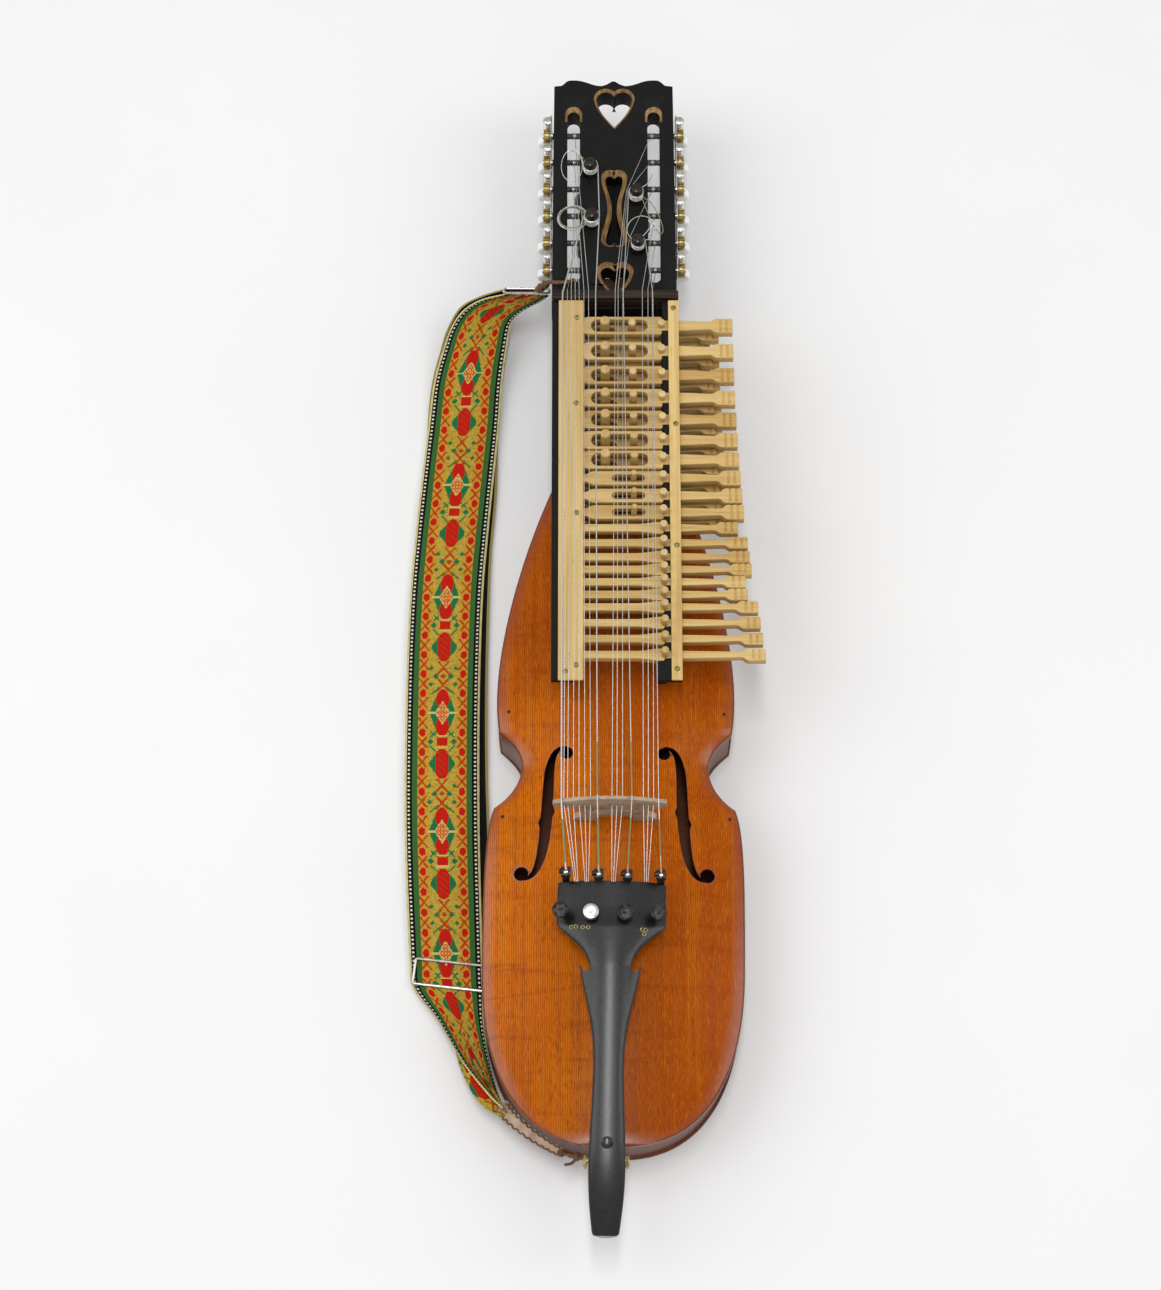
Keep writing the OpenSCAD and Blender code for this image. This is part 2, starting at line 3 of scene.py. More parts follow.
import bmesh
import bpy
from mathutils import Matrix, Vector


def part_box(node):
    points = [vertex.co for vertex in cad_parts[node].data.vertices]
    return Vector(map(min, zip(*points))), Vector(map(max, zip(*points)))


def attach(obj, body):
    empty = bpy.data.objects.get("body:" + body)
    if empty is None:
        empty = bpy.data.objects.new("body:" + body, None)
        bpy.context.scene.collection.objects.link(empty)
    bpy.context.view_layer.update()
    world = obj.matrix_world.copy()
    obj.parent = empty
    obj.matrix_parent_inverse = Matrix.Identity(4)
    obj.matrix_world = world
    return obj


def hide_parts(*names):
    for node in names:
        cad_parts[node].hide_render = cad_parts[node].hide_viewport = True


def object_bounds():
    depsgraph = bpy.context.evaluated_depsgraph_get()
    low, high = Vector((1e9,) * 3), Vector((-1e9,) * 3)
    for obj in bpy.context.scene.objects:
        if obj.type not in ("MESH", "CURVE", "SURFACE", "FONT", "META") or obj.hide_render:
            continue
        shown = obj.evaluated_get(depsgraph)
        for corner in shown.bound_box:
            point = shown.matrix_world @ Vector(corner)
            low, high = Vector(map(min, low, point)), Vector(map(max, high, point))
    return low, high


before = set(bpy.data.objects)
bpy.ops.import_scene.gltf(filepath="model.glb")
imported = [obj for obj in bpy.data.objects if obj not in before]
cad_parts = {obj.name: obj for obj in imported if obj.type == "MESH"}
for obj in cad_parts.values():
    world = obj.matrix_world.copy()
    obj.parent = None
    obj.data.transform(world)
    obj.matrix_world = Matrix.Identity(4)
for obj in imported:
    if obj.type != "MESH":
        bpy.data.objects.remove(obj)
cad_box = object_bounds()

# ---------------------------------------------------------------- Studio
# The instrument lies on its flat back on a white sweep, under a narrow strip light that runs
# along the strings and between two large soft lights off its sides. The camera looks steeply
# down from a little past the tail.
scene = bpy.context.scene
scene.view_settings.view_transform = "Standard"

camera_data = bpy.data.cameras.new("camera")
camera_data.sensor_fit, camera_data.sensor_width, camera_data.lens = "HORIZONTAL", 36, 98
camera = bpy.data.objects.new("camera", camera_data)
camera.location = (-0.025, -0.6684, 2.2683)
camera.rotation_euler = (radians(20), 0, 0)
scene.collection.objects.link(camera)
scene.camera = camera

room = bpy.data.worlds.new("room")
room.use_nodes = True
room.node_tree.nodes["Background"].inputs["Color"].default_value = (1, 0.99, 0.98, 1)
room.node_tree.nodes["Background"].inputs["Strength"].default_value = 0.56
scene.world = room


def soft_light(name, place, aim, width, length, power, colour=(1, 1, 1)):
    data = bpy.data.lights.new(name, "AREA")
    data.shape, data.size, data.size_y, data.energy, data.color = "RECTANGLE", width, length, power, colour
    light = bpy.data.objects.new(name, data)
    light.location = place
    light.rotation_euler = (Vector(aim) - Vector(place)).to_track_quat("-Z", "Y").to_euler()
    scene.collection.objects.link(light)


soft_light("strip_light", (-0.02, -0.04, 3.1), (-0.02, -0.04, 0), 0.26, 1.5, 26)
soft_light("right_light", (1.9, 0.1, 2.0), (0, 0.15, 0), 1.0, 2.2, 15)
soft_light("left_light", (-1.8, 0.2, 2.1), (0, 0.15, 0), 1.4, 2.4, 22)


# ---------------------------------------------------------------- Soundboard
# An arched plate of quarter-sawn spruce with the grain along the strings, its edge rounded
# over the ribs, two f holes sawn through it, and an amber spirit varnish coloured redder
# and darker towards the rim. Four small black pins hold it at the corners.
class Value:
    """A socket of a finish's shader. Arithmetic on it adds the Math nodes."""

    def __init__(self, finish, socket):
        self.finish, self.socket = finish, socket

    def maths(self, operation, *terms):
        return self.finish.node("ShaderNodeMath", {"operation": operation}, dict(enumerate(terms)))

    def __add__(self, other): return self.maths("ADD", self, other)
    def __radd__(self, other): return self.maths("ADD", other, self)
    def __sub__(self, other): return self.maths("SUBTRACT", self, other)
    def __rsub__(self, other): return self.maths("SUBTRACT", other, self)
    def __mul__(self, other): return self.maths("MULTIPLY", self, other)
    def __rmul__(self, other): return self.maths("MULTIPLY", other, self)
    def __truediv__(self, other): return self.maths("DIVIDE", self, other)
    def __pow__(self, other): return self.maths("POWER", self, other)
    def __mod__(self, other): return self.maths("FLOORED_MODULO", self, other)
    def __lt__(self, other): return self.maths("LESS_THAN", self, other)
    def __gt__(self, other): return self.maths("GREATER_THAN", self, other)
    def __abs__(self): return self.maths("ABSOLUTE", self)
    def sine(self): return self.maths("SINE", self)
    def floor(self): return self.maths("FLOOR", self)


class Finish:
    """A surface finish: one material and the nodes that make it."""

    def __init__(self, name):
        self.material = bpy.data.materials.new(name)
        self.material.use_nodes = True
        self.tree = self.material.node_tree
        self.tree.nodes.clear()

    def node(self, kind, settings=None, sockets=None, output=0):
        made = self.tree.nodes.new(kind)
        for setting, value in (settings or {}).items():
            if setting == "stops":
                ramp = made.color_ramp.elements
                while len(ramp) > 1:
                    ramp.remove(ramp[-1])
                for number, (place, colour) in enumerate(value):
                    stop = ramp[0] if number == 0 else ramp.new(place)
                    stop.position, stop.color = place, (*colour, 1)
            else:
                setattr(made, setting, value)
        for socket, value in (sockets or {}).items():
            if isinstance(value, Value):
                self.tree.links.new(value.socket, made.inputs[socket])
            elif made.inputs[socket].type == "RGBA":
                made.inputs[socket].default_value = (*value, 1)
            else:
                made.inputs[socket].default_value = value
        return Value(self, made.outputs[output] if made.outputs else None)

    def place(self):
        return self.node("ShaderNodeTexCoord", output="Object")

    def axes(self, vector=None):
        vector = vector or self.place()
        return [self.node("ShaderNodeSeparateXYZ", {}, {0: vector}, axis) for axis in "XYZ"]

    def stretched(self, scale):
        return self.node("ShaderNodeVectorMath", {"operation": "MULTIPLY"}, {0: self.place(), 1: scale})

    def noise(self, vector, scale=1.0, detail=3.0, roughness=0.55, distortion=0.0):
        return self.node("ShaderNodeTexNoise", {}, {"Vector": vector, "Scale": scale, "Detail": detail,
                                                    "Roughness": roughness, "Distortion": distortion}, "Fac")

    def ramp(self, value, *stops):
        return self.node("ShaderNodeValToRGB", {"stops": stops}, {"Fac": value})

    def mix(self, share, first, second, blend="MIX"):
        return self.node("ShaderNodeMix", {"data_type": "RGBA", "blend_type": blend},
                         {0: share, 6: first, 7: second}, 2)

    def step(self, value, low, high):
        """0 below low, 1 above high, and smooth between them."""
        return self.node("ShaderNodeMapRange", {"interpolation_type": "SMOOTHSTEP"},
                         {"Value": value, "From Min": low, "From Max": high})

    def bump(self, height, depth, strength=1.0):
        return self.node("ShaderNodeBump", {}, {"Height": height, "Distance": depth, "Strength": strength})

    def surface(self, **sockets):
        sockets = {"Specular_IOR_Level": 0.16, **sockets}
        shader = self.node("ShaderNodeBsdfPrincipled", {}, {k.replace("_", " "): v for k, v in sockets.items()})
        self.node("ShaderNodeOutputMaterial", {}, {"Surface": shader})
        return self


def grain_lines(finish, across, spacing, waviness):
    """Year rings seen on the quarter: even lines across the board that wander a little along it."""
    wander = finish.noise(finish.stretched((30, 3, 8)), 1.0, 2.0)
    return ((across / spacing + wander * waviness) * (2 * pi)).sine() * 0.5 + 0.5


MM = 0.001


def finished(name, mesh, finishes, body="body", stands_for=(), crease=34):
    """Turns worked geometry, in millimetres, into a piece that rides on a body."""
    bmesh.ops.recalc_face_normals(mesh, faces=mesh.faces)
    bmesh.ops.transform(mesh, matrix=Matrix.Scale(MM, 4), verts=mesh.verts)
    data = bpy.data.meshes.new(name)
    mesh.to_mesh(data)
    mesh.free()
    for finish in finishes:
        data.materials.append(finish.material)
    data.shade_smooth()
    data.set_sharp_from_angle(angle=radians(crease))
    piece = bpy.data.objects.new(name, data)
    scene.collection.objects.link(piece)
    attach(piece, body)
    if stands_for:
        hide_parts(*stands_for)
    return piece


def bezier(a, b, c, d, steps):
    """Points of a curve after its first end."""
    weights = [i / steps for i in range(1, steps + 1)]
    return [tuple(p * (1 - t) ** 3 + 3 * q * t * (1 - t) ** 2 + 3 * r * t * t * (1 - t) + s * t ** 3
                  for p, q, r, s in zip(a, b, c, d)) for t in weights]


def both_sides(half, centre=0.0):
    return [(centre + x, y) for x, y in half] + [(centre - x, y) for x, y in reversed(half)]


def turned_by(points, angle, centre=(0, 0), shift=(0, 0)):
    c, s = cos(radians(angle)), sin(radians(angle))
    return [(centre[0] + (x - centre[0]) * c - (y - centre[1]) * s + shift[0],
             centre[1] + (x - centre[0]) * s + (y - centre[1]) * c + shift[1]) for x, y in points]


BODY_SKEW = -0.7
LOWER_HALF, TAIL_END, BODY_END, TAIL_CENTRE = 95, -238.5, 263, -100
RIB_TOP, TOP_THICK, ARCH_RISE = 48, 3.5, 13


def body_half(inset=0.0, fine=3):
    """One side of the body's outline from the tail to the neck."""
    side = [(LOWER_HALF * cos(radians(t)) ** 0.8, TAIL_CENTRE + (TAIL_END - TAIL_CENTRE) * sin(radians(t)) ** 0.8)
            for t in [89.5, 88.5, 87] + [84 - 80 * i / (8 * fine) for i in range(8 * fine + 1)]]
    low, waist, high = (LOWER_HALF - 6.5, 10.5), (LOWER_HALF - 26.2, 42), (LOWER_HALF - 9, 69)
    side += bezier((LOWER_HALF, -100), (LOWER_HALF, -60), (LOWER_HALF + 1, -8), low, 5 * fine)
    side += bezier(low, (LOWER_HALF - 15, 16), (LOWER_HALF - 26, 28), waist, 4 * fine)
    side += bezier(waist, (LOWER_HALF - 26.2, 54), (LOWER_HALF - 17, 62), high, 4 * fine)
    side += bezier(high, (LOWER_HALF, 118), (LOWER_HALF - 21, 205), (50, BODY_END), 9 * fine)
    return [(x - inset, y * (1 + inset / TAIL_END) if y < 0 else y * (1 - inset / BODY_END)) for x, y in side]


def arch_along(y):
    if y < TAIL_CENTRE:
        return 1 - ((TAIL_CENTRE - y) / (TAIL_CENTRE - TAIL_END)) ** 2
    return 1 - 0.5 * ((y - 100) / (BODY_END - 100)) ** 2 if y > 100 else 1


def arch_height(x, y, half):
    return RIB_TOP + TOP_THICK + ARCH_RISE * arch_along(y) * (1 - (x / half) ** 2)


def f_hole():
    """The outline of the stem, the two eyes, and the notches at the middle of the stem."""
    line = [(35.5, 54.5)] + bezier((35.5, 54.5), (44, 56), (48, 47), (48.6, 30), 14)
    line += bezier(line[-1], (50, -16), (52, -46), (67, -45.5), 26)
    count = len(line) - 1
    sides = ([], [])
    for i, (x, y) in enumerate(line):
        ahead, behind = line[min(i + 1, count)], line[max(i - 1, 0)]
        dx, dy = ahead[0] - behind[0], ahead[1] - behind[1]
        half = 0.9 + 3.3 * sin(pi * i / count) ** 1.3
        for side, sign in zip(sides, (1, -1)):
            notch = 1.6 if i == (21 if sign > 0 else 19) else 0
            side.append((x - sign * dy / hypot(dx, dy) * (half + notch),
                         y + sign * dx / hypot(dx, dy) * (half + notch)))
    stem = sides[0] + sides[1][::-1]
    eyes = [[(cx + r * cos(a * pi / 14), cy + r * sin(a * pi / 14)) for a in range(28)]
            for cx, cy, r in ((35.6, 50.2, 4.6), (67.6, -41.4, 5.2))]
    return [stem] + eyes


def sawn(mesh, outlines, low, high, ease=0.5, finish=0, rounding=1):
    """Adds a board sawn to closed outlines, the first its outside and the rest openings, with eased edges."""
    line = bpy.data.curves.new("saw_line", "CURVE")
    line.dimensions, line.fill_mode = "2D", "BOTH"
    line.extrude, line.bevel_depth, line.offset, line.bevel_resolution = (high - low) / 2 - ease, ease, -ease, rounding
    for number, outline in enumerate(outlines):
        area = sum(a[0] * b[1] - b[0] * a[1] for a, b in zip(outline, outline[1:] + outline[:1]))
        spline = line.splines.new("POLY")
        spline.points.add(len(outline) - 1)
        spline.use_cyclic_u = True
        for point, (x, y) in zip(spline.points, outline if (area > 0) == (number == 0) else outline[::-1]):
            point.co = (x, y, 0, 1)
    holder = bpy.data.objects.new("saw_line", line)
    board = bpy.data.meshes.new_from_object(holder)
    board.transform(Matrix.Translation((0, 0, (low + high) / 2)))
    old_faces, old_corners = set(mesh.faces), set(mesh.verts)
    mesh.from_mesh(board)
    bmesh.ops.remove_doubles(mesh, verts=[v for v in mesh.verts if v not in old_corners], dist=1e-4)
    new = [face for face in mesh.faces if face not in old_faces]
    for face in new:
        face.material_index = finish
    bpy.data.objects.remove(holder)
    bpy.data.curves.remove(line)
    bpy.data.meshes.remove(board)
    return new


def cut_through(piece, mesh, tolerant=False):
    """Saws openings of the given solid out of a finished piece."""
    bmesh.ops.recalc_face_normals(mesh, faces=mesh.faces)
    bmesh.ops.transform(mesh, matrix=Matrix.Scale(MM, 4), verts=mesh.verts)
    data = bpy.data.meshes.new("saw")
    mesh.to_mesh(data)
    mesh.free()
    saw = bpy.data.objects.new("saw", data)
    scene.collection.objects.link(saw)
    cut = piece.modifiers.new("cut", "BOOLEAN")
    cut.object, cut.operation, cut.solver, cut.use_self = saw, "DIFFERENCE", "EXACT", tolerant
    bpy.context.view_layer.update()
    result = bpy.data.meshes.new_from_object(piece.evaluated_get(bpy.context.evaluated_depsgraph_get()))
    piece.modifiers.remove(cut)
    old, piece.data = piece.data, result
    result.set_sharp_from_angle(angle=radians(34))
    bpy.data.meshes.remove(old)
    bpy.data.objects.remove(saw)


amber = Finish("amber_varnish")
x, y, z = amber.axes()
rim = amber.node("ShaderNodeAttribute", {"attribute_name": "from_rim"}, output="Fac")
rings = grain_lines(amber, x, 0.0016, 1.6)
broad = amber.noise(amber.stretched((170, 1.2, 60)), 1.0, 3.0, 0.6)
pores = amber.noise(amber.stretched((1700, 170, 500)), 1.0, 2.0, 0.6)
cloud = amber.noise(amber.stretched((16, 9, 9)), 1.0, 4.0, 0.6)
flame = amber.noise(amber.stretched((14, 75, 30)), 1.0, 4.0, 0.65, 0.8)
tone = amber.mix(amber.step(y + cloud * 0.12, -0.20, 0.02), (0.41, 0.088, 0.0020), (0.56, 0.132, 0.0010))
tone = amber.mix(amber.step(y + cloud * 0.08, 0.05, 0.20), tone, (0.42, 0.084, 0.0012))
# Painted light and shade: a darker band just right of the middle where the tailpiece and strings throw their shade, the
# right side darkened, and the left side lightened where the light falls on it.
tone = amber.mix(amber.step(abs(x - 0.012 + cloud * 0.02), 0.028, 0.0) * 0.28, tone, (0.26, 0.044, 0.0015))
tone = amber.mix(amber.step(x + cloud * 0.04, -0.01, 0.085) * 0.62, tone, (0.28, 0.042, 0.0008))
tone = amber.mix(amber.step(x + cloud * 0.05, -0.045, -0.09) * 0.55, tone, (0.70, 0.185, 0.0020))
tone = amber.mix(amber.step(cloud, 0.56, 0.32) * 0.40, tone, (0.68, 0.190, 0.003))
tone = amber.mix(amber.step(flame, 0.50, 0.68) * 0.48, tone, (0.27, 0.046, 0.0016))
tone = amber.mix(amber.step(broad, 0.50, 0.74) * 0.38, tone, (0.24, 0.040, 0.0014))
tone = amber.mix(amber.step(broad, 0.46, 0.26) * 0.30, tone, (0.66, 0.215, 0.008))
tone = amber.mix(rings ** 2.5 * 0.62, tone, (0.225, 0.036, 0.0014))
tone = amber.mix(amber.step(pores, 0.55, 0.70) * 0.70, tone, (0.17, 0.025, 0.0010))
tone = amber.mix(amber.step(pores, 0.43, 0.28) * 0.32, tone, (0.74, 0.28, 0.016))
# Darker and redder towards the rim, with a near-black line along the edge itself.
tone = amber.mix(amber.step(rim, 0.011, 0.0012) * 0.50, tone, (0.20, 0.028, 0.0015))
tone = amber.mix(amber.step(rim, 0.0017, 0.0007) * 0.8, tone, (0.085, 0.016, 0.005))
amber.surface(Base_Color=tone, Roughness=amber.noise(amber.stretched((60, 12, 60))) * 0.16 + 0.34,
              Coat_Weight=amber.step(rim, 0.012, 0.002) * 0.8 + 0.08, Coat_Roughness=0.16, Specular_IOR_Level=0.02,
              Normal=amber.bump(rings * 0.6 + pores, 0.00007, 0.7))

rim_drops = [(0.0, 1.5), (0.25, 0.75), (0.7, 0.25), (1.5, 0.0)]
edge_steps = (0.0, 0.25, 0.7, 1.5, 4.0, 9.0)
half = body_half()
plate = bmesh.new()
from_rim = plate.verts.layers.float.new("from_rim")
rows = [[], []]
for px, py in half:
    steps = [d * min(1, px / 20) for d in edge_steps]
    cols = [d - px for d in steps] + [(steps[-1] - px) * (1 - i / 13) for i in range(1, 14)]
    cols += [-c for c in reversed(cols[:-1])]
    near = [min(px - abs(c), hypot(py - TAIL_END, 0) if py < TAIL_CENTRE else BODY_END - py) for c in cols]
    for layer, drop in ((0, TOP_THICK), (1, 0)):
        row = []
        for c, d in zip(cols, near):
            if layer == 0:
                fall = next((a + (b - a) * (d - p) / (q - p) for (p, a), (q, b) in zip(rim_drops, rim_drops[1:])
                             if p <= d < q), 0.0)
                height = arch_height(c, py, px) - fall
            else:
                height = arch_height(c, py, px) - TOP_THICK
            vertex = plate.verts.new((c, py, height))
            vertex[from_rim] = d * MM
            row.append(vertex)
        rows[layer].append(row)
for layer in (0, 1):
    for low_row, high_row in zip(rows[layer], rows[layer][1:]):
        for i in range(len(low_row) - 1):
            plate.faces.new((low_row[i], low_row[i + 1], high_row[i + 1], high_row[i]))
for top_row, low_row in ((rows[0][0], rows[1][0]), (rows[0][-1], rows[1][-1])):
    for i in range(len(top_row) - 1):
        plate.faces.new((top_row[i], top_row[i + 1], low_row[i + 1], low_row[i]))
for end in (0, -1):
    for (t0, t1), (b0, b1) in zip(zip(rows[0], rows[0][1:]), zip(rows[1], rows[1][1:])):
        plate.faces.new((t0[end], t1[end], b1[end], b0[end]))
bmesh.ops.rotate(plate, verts=plate.verts, matrix=Matrix.Rotation(radians(BODY_SKEW), 3, "Z"))
soundboard = finished("arched_top", plate, [amber], stands_for=("soundboard",), crease=50)
for side in (1, -1):
    for outline in f_hole():
        saw = bmesh.new()
        sawn(saw, [turned_by([(side * px, py) for px, py in outline], BODY_SKEW)], 40, 80, 0.01, rounding=0)
        cut_through(soundboard, saw)


def turned(mesh, profile, centre, axis=(0, 0, 1), sides=28, finish=0):
    """Adds lathe work: radius and height pairs along an axis from its centre."""
    aim = Vector((0, 0, 1)).rotation_difference(Vector(axis)).to_matrix()
    rings = []
    for radius, height in profile:
        rings.append([mesh.verts.new(Vector(centre) + aim @ Vector((radius * cos(2 * pi * i / sides),
                                                                    radius * sin(2 * pi * i / sides), height)))
                      for i in range(sides)])
    for low_ring, high_ring in zip(rings, rings[1:]):
        for i in range(sides):
            mesh.faces.new((low_ring[i], low_ring[(i + 1) % sides], high_ring[(i + 1) % sides],
                            high_ring[i])).material_index = finish
    mesh.faces.new(rings[0][::-1]).material_index = finish
    mesh.faces.new(rings[-1]).material_index = finish


black_pin = Finish("black_pin")
black_pin.surface(Base_Color=black_pin.ramp(black_pin.noise(black_pin.place(), 900), (0.3, (0.012, 0.008, 0.006)),
                                            (0.7, (0.03, 0.02, 0.015))), Roughness=0.35)
pins = bmesh.new()
for px, py in ((-82, 3), (84, 3), (-79, 84), (80, 84)):
    (qx, qy), = turned_by([(px, py)], BODY_SKEW)
    width = min(half, key=lambda p: abs(p[1] - py))[0]
    turned(pins, [(1.3, -2), (1.3, 0.05), (1.0, 0.3), (0.4, 0.4)], (qx, qy, arch_height(px, py, width)), sides=14)
finished("corner_pins", pins, [black_pin])

# ---------------------------------------------------------------- Bass bar and sound post
# Under the top: a split spruce bar along the bass side and a round spruce post under the
# treble foot of the bridge, both left bare.
bare_spruce = Finish("bare_spruce")
x, y, z = bare_spruce.axes()
lines = grain_lines(bare_spruce, x, 0.0014, 1.0)
bare_spruce.surface(Base_Color=bare_spruce.mix(lines ** 3 * 0.6, (0.62, 0.46, 0.27), (0.40, 0.25, 0.12)),
                    Roughness=0.75, Normal=bare_spruce.bump(lines, 0.00008))


def refinish(node, finish, ease=None):
    """Gives a CAD node its finish, with its sharp edges eased where a width is given."""
    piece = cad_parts[node]
    piece.data.materials.clear()
    piece.data.materials.append(finish.material)
    if ease:
        weld = piece.modifiers.new("weld", "WELD")
        weld.merge_threshold = 1e-5
        bevel = piece.modifiers.new("eased_edges", "BEVEL")
        bevel.width, bevel.segments, bevel.limit_method, bevel.angle_limit = ease * MM, 2, "ANGLE", radians(40)
        bevel.harden_normals = False


refinish("bass_bar", bare_spruce, 0.6)
refinish("sound_post", bare_spruce, 0.2)

# ---------------------------------------------------------------- Back and ribs
# A flat back with a small overhang and bent ribs let in between it and the top, all stained
# dark brown and varnished. The ribs meet in a point at each corner of the waist.
brown = Finish("dark_varnish")
x, y, z = brown.axes()
bands = brown.noise(brown.stretched((14, 14, 420)), 1.0, 4.0, 0.6)
flame = brown.noise(brown.stretched((260, 260, 10)), 1.0, 2.0)
tone = brown.ramp(bands * 0.7 + flame * 0.3, (0.30, (0.060, 0.017, 0.007)), (0.52, (0.13, 0.036, 0.013)),
                  (0.72, (0.24, 0.075, 0.026)))
brown.surface(Base_Color=tone, Roughness=bands * 0.2 + 0.28, Coat_Weight=0.12, Coat_Roughness=0.15,
              Normal=brown.bump(bands, 0.00006))
back = bmesh.new()
sawn(back, [turned_by(both_sides(body_half()), BODY_SKEW)], 0, 3, 1.1, rounding=3)
finished("flat_back", back, [brown], stands_for=("back_plate",))
sides = bmesh.new()
sawn(sides, [turned_by(both_sides(body_half(1.5)), BODY_SKEW), turned_by(both_sides(body_half(4)), BODY_SKEW)],
     3, RIB_TOP, 0.05, rounding=0)
for low, high in (((-20, TAIL_END + 4.6), (20, TAIL_END + 24)), ((-36, BODY_END - 26), (36, BODY_END - 4.4))):
    block = [low, (high[0], low[1]), high, (low[0], high[1])]
    sawn(sides, [turned_by(block, BODY_SKEW)], 3, RIB_TOP, 0.8)
finished("bent_ribs", sides, [brown], stands_for=("ribs",))

# ---------------------------------------------------------------- Neck
# One block of stained beech from the heel against the body to a tongue under the head, flat
# on top and rounded underneath.
stain = Finish("neck_stain")
x, y, z = stain.axes()
streak = stain.noise(stain.stretched((420, 9, 420)), 1.0, 3.0)
stain.surface(Base_Color=stain.ramp(streak, (0.3, (0.035, 0.014, 0.008)), (0.7, (0.10, 0.038, 0.018))),
              Roughness=streak * 0.2 + 0.35, Coat_Weight=0.1, Coat_Roughness=0.2,
              Normal=stain.bump(streak, 0.00005))


def lofted(mesh, sections, finish=0, closed_ends=True):
    """Adds a skin through sections that have the same number of points."""
    rings = [[mesh.verts.new(point) for point in section] for section in sections]
    count = len(rings[0])
    for low_ring, high_ring in zip(rings, rings[1:]):
        for i in range(count):
            mesh.faces.new((low_ring[i], low_ring[(i + 1) % count], high_ring[(i + 1) % count],
                            high_ring[i])).material_index = finish
    if closed_ends:
        mesh.faces.new(rings[0][::-1]).material_index = finish
        mesh.faces.new(rings[-1]).material_index = finish


def neck_section(y, width, low, high):
    drop = min(14, (high - low) * 0.8)
    under = [(width / 2 * cos(radians(a)), low + drop - drop * sin(radians(a))) for a in range(0, 181, 12)]
    edge = [(-width / 2, high - 1.2), (-width / 2 + 1.2, high), (width / 2 - 1.2, high), (width / 2, high - 1.2)]
    return [(1.5 + px, y, pz) for px, pz in under + edge]


neck = bmesh.new()
lofted(neck, [neck_section(y, 62 - 0.4 * max(0, y - 401) * 10 / 36, 8 + 18 * min(1, (y - 265) / 136)
                           + 18 * max(0, (y - 401) / 36), 58 if y < 402 else 62)
              for y in (265, 268, 300, 340, 380, 400.9, 401, 419, 434, 437)])
finished("neck_block", neck, [stain], stands_for=("neck",))

# ---------------------------------------------------------------- Head
# A flat board of alder under satin black lacquer. Two long slots, a heart, a sunk hourglass
# and half a heart are sawn in it, and their upper edges are chamfered down to bare wood.
HEAD_FACE, HEAD_BACK, HEAD_START, CROWN, NECK_SHIFT, BOX_WIDTH = 84, 62, 401, 591, 1.5, 96
SLOT_OFFSET, SLOT_WIDTH, SLOT_START, SLOT_LENGTH = 31.3, 9.8, 423, 149
PEG_PLACES = {"g_peg": (-17.5, 517), "drone_peg": (-16.4, 473), "c_peg": (18, 494), "a_peg": (19, 451)}
PEG_RADIUS = 5

lacquer = Finish("black_lacquer")
x, y, z = lacquer.axes()
dust = lacquer.noise(lacquer.place(), 240, 4.0, 0.65)
smear = lacquer.noise(lacquer.stretched((20, 60, 40)), 1.0, 3.0)
scratch = lacquer.step(lacquer.noise(lacquer.stretched((1400, 60, 500)), 1.0, 2.0), 0.68, 0.75)
tone = lacquer.mix(dust * 0.55, (0.006, 0.006, 0.0065), (0.020, 0.019, 0.018))
tone = lacquer.mix(scratch * 0.30, tone, (0.07, 0.065, 0.06))
lacquer.surface(Base_Color=tone, Roughness=smear * 0.22 + 0.42, Specular_IOR_Level=0.10,
                Normal=lacquer.bump(dust, 0.00004))

bare_edge = Finish("bare_chamfer")
x, y, z = bare_edge.axes()
fibre = bare_edge.noise(bare_edge.stretched((500, 50, 300)), 1.0, 3.0)
stainy = bare_edge.noise(bare_edge.place(), 140, 3.0)
tone = bare_edge.ramp(fibre * 0.6 + stainy * 0.4, (0.34, (0.10, 0.052, 0.018)), (0.50, (0.27, 0.155, 0.060)),
                      (0.66, (0.42, 0.27, 0.12)))
bare_edge.surface(Base_Color=tone, Roughness=0.6, Normal=bare_edge.bump(fibre, 0.00008))


def arc(cx, cy, radius, start, end, steps):
    return [(cx + radius * cos(radians(start + (end - start) * i / steps)),
             cy + radius * sin(radians(start + (end - start) * i / steps))) for i in range(steps + 1)]


def heart(cx, cy, width, height):
    """From the tip round one lobe to the cleft, then back by the other lobe."""
    lobe = width / 4
    top, r = height - lobe, width / 4 * 1.05
    side = [(0.0, 0.0)] + bezier((0, 0), (width * 0.16, height * 0.20), (width * 0.42, height * 0.38),
                                 (lobe * 0.95 + r, top), 8)
    side += arc(lobe * 0.95, top, r, 12, 165, 10)
    side += [(0.0, top + lobe * 0.30)]
    return [(cx + px, cy + py) for px, py in side] + [(cx - px, cy + py) for px, py in side[-2:0:-1]]


def hourglass(cx, cy):
    side = bezier((1.9, 0), (1.9, 12), (6.2, 17), (6.7, 26.8), 8)
    side += arc(3.5, 26.8, 3.2, 10, 155, 8) + [(0.0, 28.2)]
    quarter = [(1.9, 0.0)] + side
    ring = quarter + [(-px, py) for px, py in quarter[-2::-1]]
    ring += [(-px, -py) for px, py in quarter[1:]] + [(px, -py) for px, py in quarter[-2:0:-1]]
    return [(cx + px, cy + py) for px, py in ring]


def head_outline():
    w = BOX_WIDTH / 2
    side = [(w, HEAD_START - 0.5), (w - 1.5, CROWN + 3), (w - 5, CROWN + 3.5)]
    side += bezier((w - 5, CROWN + 3.5), (w - 10, CROWN + 3), (w - 9, CROWN + 9), (w - 16, CROWN + 8.5), 8)
    side += bezier((w - 16, CROWN + 8.5), (22, CROWN + 9), (18, CROWN + 3.5), (9, CROWN + 3.5), 10)
    side += [(5, CROWN + 5), (1.2, CROWN + 7.6)]
    return both_sides(side, NECK_SHIFT - 0.6)


def long_slot(cx):
    r = SLOT_WIDTH / 2
    return arc(cx, SLOT_START + r, r, 180, 360, 12) + arc(cx, SLOT_START + SLOT_LENGTH - r, r, 0, 180, 12)


